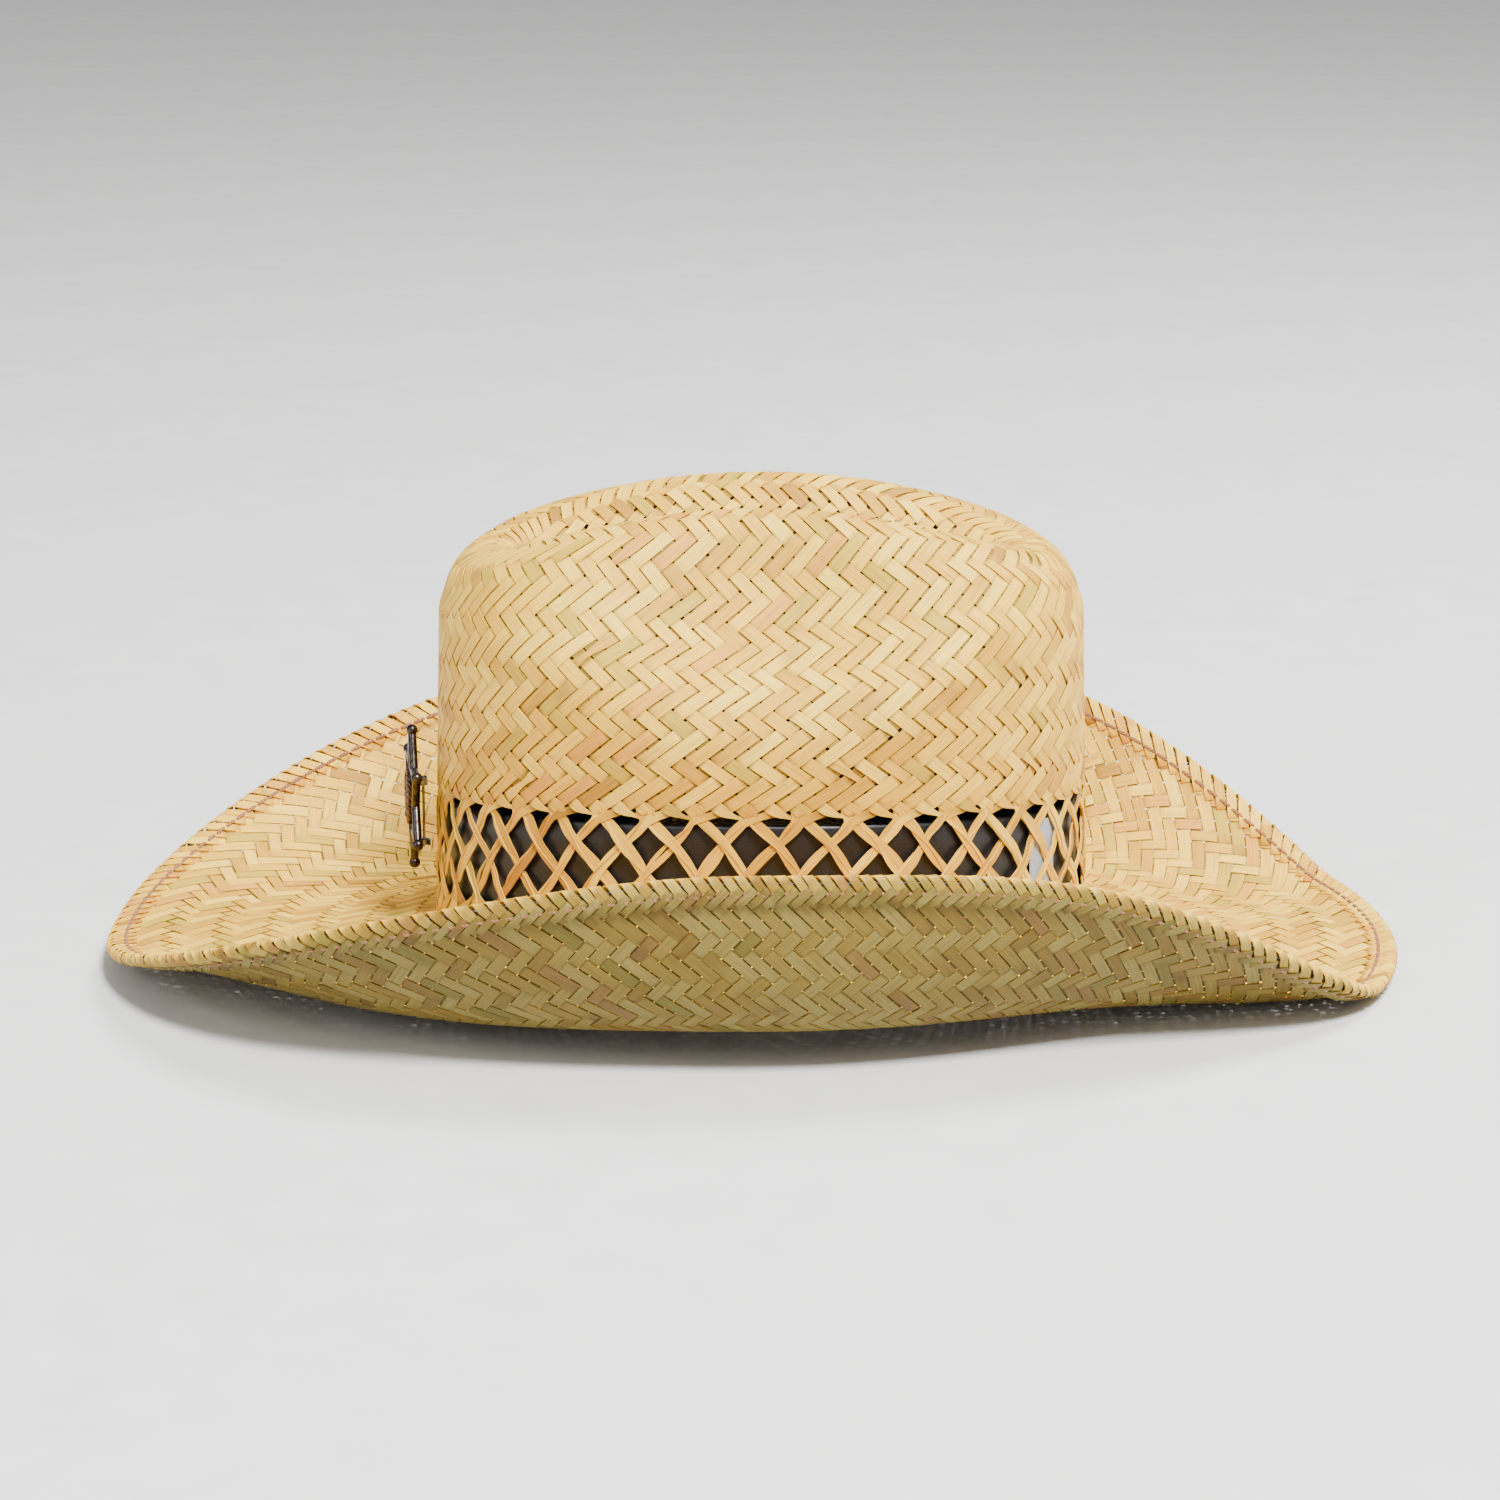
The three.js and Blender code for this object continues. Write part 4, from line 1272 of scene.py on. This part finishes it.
@dataclass
class Hem:
    """The turned-under edge: slanting strips folded round the brim's edge and sewn down twice."""

    form: HatForm
    straw: Material
    thread: Material
    steel: Material
    thread_width: float = 1.15 * MM
    thread_thick: float = 0.6 * MM
    strips: int = 246
    strip_thick: float = 0.5 * MM
    fold_radius: float = 1.35 * MM
    top_width: float = 8.0 * MM
    under_width: float = 5.2 * MM
    slant: float = 1.35              # pitches that a strip leans over in crossing the hem
    stitch_inset: float = 6.0 * MM
    tuck_from: float = 3.6 * MM
    tuck_to: float = 8.4 * MM
    cover: float = 0.95              # strip width as a share of the spacing
    wire_inset: float = 2.1 * MM
    wire_width: float = 1.0 * MM

    def _beside(self, sheet: Surface, turn: np.ndarray, inset: np.ndarray, lift: np.ndarray) -> tuple:
        """Points near the brim's edge.

        Args:
            sheet: The brim's sheet.
            turn: Turns about the hat.
            inset: Distances in from the rim.
            lift: Distances above the sheet.

        Returns:
            The points and the sheet's upward directions there.
        """
        run = 1 - inset / sheet.length(turn)
        normal = sheet.normal(turn, run)
        return sheet.point(turn, run) + normal * lift[..., None], normal

    def build(self) -> None:
        """Makes the fold, the tucked ends beneath and the rows of thread."""
        sheet = brim_surface(self.form)
        rng = np.random.default_rng(31)
        self._fold(sheet, rng)
        self._tucks(sheet, rng)
        self._threads(sheet)

    def _fold(self, sheet: Surface, rng: np.random.Generator) -> None:
        """The strips that wrap round the edge.

        Args:
            sheet: The brim's sheet.
            rng: Seeded source of chance.
        """
        radius = self.fold_radius
        bend = np.linspace(math.pi / 2, -math.pi / 2, 6)
        inset = np.concatenate([[self.top_width, 5 * MM, 2.6 * MM], radius * (1 - np.cos(bend)),
                                [3.2 * MM, self.under_width]])[None, :]
        lift = np.concatenate([[0.75 * MM, radius, radius], radius * np.sin(bend),
                               [-radius, -radius]])[None, :]
        inset = inset + 0.3 * MM
        steps = np.hypot(np.diff(inset), np.diff(lift))
        travel = np.concatenate([[[0.0]], np.cumsum(steps, 1)], 1)
        travel = travel / travel[0, -1]
        index = np.arange(self.strips)[:, None]
        jitter = rng.normal(0, 0.05, (self.strips, 1))
        turn = (index + jitter + 2 * self.slant * (travel - 0.5)) / self.strips
        point, up = self._beside(sheet, turn, inset + 0 * turn, lift + 0 * turn)
        core, _ = self._beside(sheet, turn, inset + radius + 0 * turn, 0 * turn)
        rim = smooth(radius * 1.2 - inset, -0.4 * MM, 0.6 * MM)
        outer = unit(point - core)
        normal = unit(mix(up * np.sign(lift + 1e-9)[..., None], outer, rim[..., None]))
        tint = StrawColours().pick(rng, self.strips, travel.shape[1])
        # painted shade: the fold's strips are darkened and greened where they pass under the brim's edge,
        # partly the leaf's duller back
        tint = tint * mix(1.0, np.array(LEAF_BACK_AND_UNDERSIDE_SHADE), 0.75 * smooth(-lift, -0.6 * MM, 1.0 * MM)[..., None])
        runs = Runs(point, normal, spacing(point) * self.cover, self.strip_thick, tint)
        make_object("hem_fold", ribbon_mesh(runs), self.straw, ("brim_hem",))

    def _tucks(self, sheet: Surface, rng: np.random.Generator) -> None:
        """The strips' ends, turned back the other way beneath and tucked in.

        Args:
            sheet: The brim's sheet.
            rng: Seeded source of chance.
        """
        travel = np.linspace(0, 1, 5)[None, :]
        inset = mix(self.tuck_from, self.tuck_to, travel)
        index = np.arange(self.strips)[:, None]
        turn = (index + 0.5 - self.slant * travel) / self.strips
        hump = np.sin(math.pi * travel)
        lift = -(self.fold_radius + 0.15 * MM + 0.45 * MM * hump) + 0 * turn
        point, up = self._beside(sheet, turn, inset + 0 * turn, lift)
        # painted shade: the tucked ends beneath the brim are darkened and greened all along, partly the
        # leaf's duller back
        tint = StrawColours().pick(rng, self.strips, travel.shape[1]) * np.array(LEAF_BACK_AND_UNDERSIDE_SHADE)
        runs = Runs(point, -up, spacing(point) * self.cover, self.strip_thick, tint)
        make_object("hem_tucked_ends", ribbon_mesh(runs), self.straw)

    def _threads(self, sheet: Surface) -> None:
        """The rows of brown stitches above and beneath, and the wire that the fold holds.

        Args:
            sheet: The brim's sheet.
        """
        t = np.linspace(-1, 1, 5)[None, :]
        rows = (("hem_top_stitching", self.stitch_inset, self.fold_radius + 0.32 * MM, 0.12 * MM, 232,
                 "hem_top_thread"),
                ("hem_under_stitching", 5.2 * MM, -self.fold_radius - 0.5 * MM, 0.55 * MM, 250,
                 "hem_under_thread"))
        for name, inset, lift, slant, count, node in rows:
            index = np.arange(count)[:, None]
            turn = (index + 0.45 * t) / count
            dip = 0.5 * MM * t ** 4
            point, up = self._beside(sheet, turn, inset + slant * t, lift - math.copysign(1, lift) * dip)
            stitch = Runs(point, up, self.thread_width, self.thread_thick)
            make_object(name, ribbon_mesh(stitch, ROUND), self.thread, (node,))
        turn = np.linspace(0, 1, 301)[None, :]
        point, up = self._beside(sheet, turn, self.wire_inset + 0 * turn, 0 * turn)
        wire = Runs(point, up, self.wire_width, self.wire_width)
        make_object("rim_wire", ribbon_mesh(wire, ROUND), self.steel, ("brim_wire",))


# ---- The sweatband and labels ----------------------------------------------------------------


@dataclass
class Sweatband:
    """A coated strip bent round inside the crown, rolled at its top edge and sewn at its foot."""

    form: HatForm
    band: Material
    thread: Material
    label: Material
    tab: Material
    tape: Material
    height: float = 42 * MM
    inset: float = 2.6 * MM
    thickness: float = 1.2 * MM
    stations: int = 220

    def _wrapped(self, profile: np.ndarray, from_turn: float, to_turn: float, stations: int,
                 ripple: float = 0.0) -> Mesh:
        """Sweeps a closed outline around inside the crown.

        Args:
            profile: Outline points, as depth in from the wall and height above the brim break.
            from_turn: Turn where the sweep starts.
            to_turn: Turn where it ends.
            stations: Number of stations on the way.
            ripple: Depth of the waves in the sheet.

        Returns:
            The mesh.
        """
        mesh = ribbon_template(stations, len(profile))
        flat = read(mesh.vertices, "co", 3)
        turn_step = np.arctan2(flat[:, 1], flat[:, 0]) / (2 * math.pi) * len(profile)
        index = np.round(turn_step).astype(int) % len(profile)
        t = flat[:, 2] / (stations - 1)
        angle = mix(from_turn, to_turn, t) * 2 * math.pi
        depth, height = profile[index, 0], profile[index, 1]
        wave = ripple * (np.sin(angle * 9 + 1) + np.sin(angle * 17 + height * 60)) / 2 * height / self.height
        nx, ny = self.form.outward(angle)
        points = self.form.wall(angle, height) - np.stack([nx, ny, 0 * nx], -1) * (depth + wave)[:, None]
        mesh.vertices.foreach_set("co", (points + self.form.origin).reshape(-1).astype(np.float32))
        radius = math.sqrt((self.form.half_length ** 2 + self.form.half_width ** 2) / 2)
        write_lay(mesh, np.stack([angle * radius, height], -1))
        bm = bmesh.new()
        bm.from_mesh(mesh)
        bmesh.ops.recalc_face_normals(bm, faces=bm.faces)
        bm.to_mesh(mesh)
        bm.free()
        return mesh

    def _outline(self, low: float, high: float, middle: float, thick: float,
                 rolled: float = 0.0) -> np.ndarray:
        """Outline of a thin upright strip with rounded edges.

        Args:
            low: Height of its foot.
            high: Height of its top.
            middle: Depth of its middle in from the wall.
            thick: Its thickness.
            rolled: Extra thickness of its rolled top edge.

        Returns:
            Points of the outline, as depth and height.
        """
        heights = np.linspace(low + thick / 2, high - thick, 7)
        bulge = thick / 2 + rolled * smooth(heights, high - 3.2 * MM, high - 1.6 * MM)
        near = [(middle - b, h) for b, h in zip(bulge, heights)]
        far = [(middle + b, h) for b, h in zip(bulge, heights)][::-1]
        crest, shoulder = 0.6 * (thick / 2 + rolled), high - thick * 0.25
        top = [(middle - crest, shoulder), (middle, high), (middle + crest, shoulder)]
        foot = [(middle + thick * 0.3, low), (middle - thick * 0.3, low)]
        return np.array(near + top + far + foot)

    def build(self) -> None:
        """Makes the band, its thread, the seam tape and the cloth labels."""
        gap = 0.0008     # turns between the seam and each end of the band
        outline = self._outline(0.5 * MM, self.height, self.inset, self.thickness, 0.35 * MM)
        mesh = self._wrapped(outline, 0.25 + gap, 1.25 - gap, self.stations, 0.35 * MM)
        make_object("sweatband_strip", mesh, self.band, ("sweatband",))
        self._stitches()
        tape = self._outline(1 * MM, self.height - 1 * MM, 1.15 * MM, 0.4 * MM)
        make_object("sweatband_back_tape", self._wrapped(tape, 0.231, 0.269, 10), self.tape,
                    ("sweatband_seam_tape",))
        self._cloth("size_label_cloth", self.label, "size_label", 0.1623, 13.4 * MM,
                    8 * MM, 40 * MM)
        self._cloth("seam_tab_cloth", self.tab, "seam_tab", 0.1353, 10.4 * MM, 4 * MM, 20 * MM)

    def _stitches(self) -> None:
        """A row of short stitches that sews the band to the straw."""
        count, rings = 150, 5
        index, t = np.arange(count)[:, None], np.linspace(-1, 1, rings)[None, :]
        angle = (index + 0.36 * t) / count * 2 * math.pi
        nx, ny = self.form.outward(angle)
        normal = -np.stack([nx, ny, 0 * nx], -1)
        depth = self.inset + self.thickness / 2 + 0.28 * MM * (1 - t ** 4)
        point = self.form.wall(angle, 3 * MM + 0 * angle) + normal * depth[..., None] + self.form.origin
        stitch = Runs(point, normal, 0.55 * MM, 0.55 * MM)
        make_object("sweatband_stitches", ribbon_mesh(stitch, ROUND), self.thread,
                    ("sweatband_thread",))

    def _cloth(self, name: str, material: Material, node: str, turn: float,
               width: float, low: float, high: float) -> None:
        """A small cloth label that hangs between the straw and the band.

        Args:
            name: The piece's name.
            material: Its finish.
            node: The frame node that it stands for.
            turn: Where it hangs, in turns about the hat.
            width: Its width.
            low: Height of its lower edge.
            high: Height of its upper edge.
        """
        radius = 0.091     # of the bend where the label hangs
        half = width / 2 / radius / FULL
        outline = self._outline(low, high, 1.15 * MM, 0.3 * MM)
        mesh = self._wrapped(outline, turn - half, turn + half, 8)
        piece = make_object(name, mesh, material, (node,))


# ---- The badge -------------------------------------------------------------------------------


@dataclass
class Badge:
    """A six-pointed star with a ball on each point, a roped ring and a fluted dome."""

    dark: Material
    bronze: Material
    steel: Material
    points: int = 6
    ball_reach: float = 21.6 * MM
    ball_radius: float = 1.8 * MM
    tip_reach: float = 20.4 * MM
    valley_reach: float = 11.3 * MM
    bar_radius: float = 1.35 * MM
    plate: float = 0.9 * MM
    face_radius: float = 8.4 * MM
    turn: float = math.radians(8)
    crease_angle: float = math.radians(40)

    @property
    def place(self) -> Matrix:
        """Turns the flat badge upright and puts it at the front of the crown.

        Returns:
            The turn and the move.
        """
        low, high = (Vector(corner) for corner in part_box("badge_star"))
        upright = Matrix.Rotation(self.turn, 4, "Z") @ Matrix.Rotation(math.pi / 2, 4, "X")
        return Matrix.Translation((low + high) / 2) @ upright

    def _finish(self, bm: bmesh.types.BMesh, name: str, material: Material,
                replaced: Sequence[str] = ()) -> None:
        """Places a badge mesh and hands it over.

        Args:
            bm: The mesh, lying flat; it is freed.
            name: The piece's name.
            material: Its finish.
            replaced: Frame nodes that it stands for.
        """
        bmesh.ops.transform(bm, matrix=self.place, verts=bm.verts)
        bmesh.ops.recalc_face_normals(bm, faces=bm.faces)
        for edge in bm.edges:
            edge.smooth = edge.is_manifold and edge.calc_face_angle() < self.crease_angle
        mesh = bpy.data.meshes.new(name)
        bm.to_mesh(mesh)
        bm.free()
        make_object(name, mesh, material, replaced)

    def _corner(self, index: int) -> Vector:
        """A corner of the star's outline.

        Args:
            index: Its number. Even ones are points, and odd ones are valleys.

        Returns:
            The corner.
        """
        reach = self.valley_reach if index % 2 else self.tip_reach
        angle = math.pi / 2 + index * math.pi / self.points
        return Vector((reach * math.cos(angle), reach * math.sin(angle), 0))

    def build(self) -> None:
        """Makes the star, its rope and its dome, and dresses the pin work and the wire's ferrule."""
        self._star()
        self._rope()
        self._dome()
        for node in ("pin_hinge_bracket", "pin_rivet", "pin_stem", "catch_body", "catch_roller",
                     "wire_ferrule"):
            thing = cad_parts[node]
            thing.data.materials.clear()
            thing.data.materials.append(self.steel if node != "wire_ferrule" else self.bronze)

    def _star(self) -> None:
        """The casting: a plate, a rounded bar along each edge and a ball on each point."""
        bm = bmesh.new()
        corners = [bm.verts.new(self._corner(i) * 0.97) for i in range(2 * self.points)]
        plate = bm.faces.new(corners)
        bmesh.ops.translate(bm, verts=bm.verts, vec=(0, 0, -self.plate / 2))
        raised = bmesh.ops.extrude_face_region(bm, geom=[plate])
        top = [item for item in raised["geom"] if isinstance(item, bmesh.types.BMVert)]
        bmesh.ops.translate(bm, verts=top, vec=(0, 0, self.plate))
        for i in range(2 * self.points):
            start, end = self._corner(i), self._corner(i + 1)
            bar = bmesh.ops.create_cone(bm, cap_ends=True, segments=14, radius1=self.bar_radius,
                                        radius2=self.bar_radius, depth=(end - start).length)
            turn = Vector((0, 0, 1)).rotation_difference(end - start).to_matrix().to_4x4()
            move = Matrix.Translation((start + end) / 2) @ turn
            bmesh.ops.transform(bm, matrix=move, verts=bar["verts"])
            knuckle = bmesh.ops.create_uvsphere(bm, u_segments=14, v_segments=8, radius=self.bar_radius)
            bmesh.ops.translate(bm, verts=knuckle["verts"], vec=start)
        for i in range(self.points):
            ball = bmesh.ops.create_uvsphere(bm, u_segments=20, v_segments=12, radius=self.ball_radius)
            reach = self._corner(2 * i).normalized() * self.ball_reach
            bmesh.ops.translate(bm, verts=ball["verts"], vec=reach)
        self._finish(bm, "badge_star_casting", self.dark, ("badge_star",))

    def _rope(self) -> None:
        """Three strands twisted together in a ring round the dome."""
        strands, rings, twists, twist_radius = 3, 181, 26, 0.42 * MM
        t = np.linspace(0, FULL, rings)[None, :]
        phase = np.arange(strands)[:, None] * FULL / strands
        swing = t * twists / strands + phase
        reach = self.face_radius - 0.3 * MM + twist_radius * np.cos(swing)
        height = 1.5 * MM + twist_radius * np.sin(swing)
        flat = np.stack([reach * np.cos(t), reach * np.sin(t), height], -1)
        place = np.array(self.place)
        point = flat @ place[:3, :3].T + place[:3, 3]
        normal = np.broadcast_to(place[:3, 2], point.shape)
        strand = Runs(point, normal, 2 * twist_radius, 2 * twist_radius)
        make_object("badge_rope_ring", ribbon_mesh(strand, ROUND), self.bronze)

    def _dome(self) -> None:
        """A shallow dome with rounded flutes, like a turned flower, round a plain boss."""
        bm = bmesh.new()
        flutes, flute_depth = 16, 0.32 * MM
        outline = [(0, 2.6), (1.6, 2.5), (2.3, 1.9), (3.0, 1.9), (4.4, 2.2), (6.0, 1.9), (7.2, 1.4),
                   (8.0, 0.9), (8.3, 0.5)]     # distance out and height, in millimetres
        verts = [bm.verts.new((r * MM, 0, z * MM)) for r, z in outline]
        edges = [bm.edges.new(pair) for pair in zip(verts, verts[1:])]
        bmesh.ops.spin(bm, geom=verts + edges, cent=(0, 0, 0), axis=(0, 0, 1), angle=FULL, steps=96,
                       use_merge=True)
        bmesh.ops.remove_doubles(bm, verts=bm.verts, dist=1e-6)
        for vert in bm.verts:
            reach = math.hypot(vert.co.x, vert.co.y)
            ease = float(smooth(reach, 2.6 * MM, 4.0 * MM) * (1 - smooth(reach, 7.2 * MM, 8.1 * MM)))
            vert.co.z += flute_depth * ease * math.cos(flutes * math.atan2(vert.co.y, vert.co.x))
        rim = [edge for edge in bm.edges if edge.is_boundary]
        bmesh.ops.holes_fill(bm, edges=rim, sides=0)
        self._finish(bm, "badge_dome", self.bronze, ("badge_face",))


# ---- The studio ------------------------------------------------------------------------------


@dataclass(frozen=True)
class Studio:
    """Pale paper, soft lights and a camera level with the wearer's shoulder."""

    distance: float = 1.4
    elevation: float = math.radians(16.7)
    dip: float = math.radians(14.56)
    lens: float = 105.8
    sensor: float = 36
    floor_half: float = 6
    glow: float = 0.5
    aim: float = 0.06                # height that the lights point at
    aside: float = -0.00075          # the camera's place along the hat
    lights: tuple = (("key", (1.3, 0.55, 2.0), 0.5, 135), ("fill", (1.2, -1.6, 1.1), 1.2, 12),
                     ("top", (-0.6, 0.9, 1.9), 0.7, 55))

    def build(self, form: HatForm) -> None:
        """Sets the floor, the lights and the camera.

        Args:
            form: The hat's form, which the camera's place is counted from.
        """
        mesh = bpy.data.meshes.new("studio_floor")
        bm = bmesh.new()
        bmesh.ops.create_grid(bm, x_segments=2, y_segments=2, size=self.floor_half)
        bm.to_mesh(mesh)
        bm.free()
        mesh.materials.append(FloorFinish().make())
        floor = bpy.data.objects.new("studio_floor", mesh)
        bpy.context.scene.collection.objects.link(floor)
        world = bpy.data.worlds.new("studio")
        world.use_nodes = True
        set_inputs(world.node_tree, world.node_tree.nodes["Background"],
                   {"Color": (1, 1, 1, 1), "Strength": self.glow})
        bpy.context.scene.world = world
        for light in self.lights:
            self._light(*light)
        camera = bpy.data.cameras.new("camera")
        camera.lens = self.lens
        camera.sensor_width = self.sensor
        camera.clip_start = 0.05
        view = bpy.data.objects.new("camera", camera)
        away = Vector((math.cos(self.elevation), 0, math.sin(self.elevation)))
        spot = Vector(form.origin) + away * self.distance
        spot.y = self.aside
        view.location = spot
        look = Vector((-math.cos(self.dip), 0, -math.sin(self.dip)))
        view.rotation_euler = look.to_track_quat("-Z", "Y").to_euler()
        bpy.context.scene.collection.objects.link(view)
        bpy.context.scene.camera = view

    def _light(self, name: str, place: tuple, size: float, power: float) -> None:
        """A square soft light that faces the hat.

        Args:
            name: Its name.
            place: Where it stands.
            size: Length of its side.
            power: Its power in watts.
        """
        lamp = bpy.data.lights.new(name, "AREA")
        lamp.size = size
        lamp.energy = power
        thing = bpy.data.objects.new(name, lamp)
        thing.location = place
        facing = Vector((0, 0, self.aim)) - Vector(place)
        thing.rotation_euler = facing.to_track_quat("-Z", "Y").to_euler()
        bpy.context.scene.collection.objects.link(thing)


def main() -> None:
    """Builds the hat, piece by piece."""
    logging.basicConfig(level=logging.INFO, format="%(name)s: %(message)s")
    form = HatForm()
    straw = StrawFinish().make()
    steel = MetalFinish("steel_drawn_and_plated", "#6c6e72", "#9b9da1", 0.3).make()
    gunmetal = MetalFinish("zinc_cast_gunmetal_plated", "#2b2624", "#5a524e", 0.27).make()
    bronze = MetalFinish("zinc_cast_antiqued_bronze", "#3f2c20", "#8a6a50", 0.42).make()
    brown = ClothFinish("cotton_thread_brown_twisted", "#a26c45", "#7c5030", 0.7 * MM).make()
    black = ClothFinish("polyester_thread_black_twisted", "#26262a", "#121214", 0.6 * MM).make()
    white = ClothFinish("label_satin_woven_white", "#b4bac8", "#8d95a8", 0.5 * MM).make()
    red = ClothFinish("tab_grosgrain_woven_red", "#b02a31", "#6d1319", 0.6 * MM).make()
    WovenBody(form, straw).build()
    CrownTop(form, straw).build()
    WovenBrim(form, straw).build()
    Hem(form, straw, brown, steel).build()
    Sweatband(form, BandFinish().make(), black, white, red, black).build()
    Badge(gunmetal, bronze, steel).build()
    Studio().build(form)


if __name__ == "__main__":
    main()
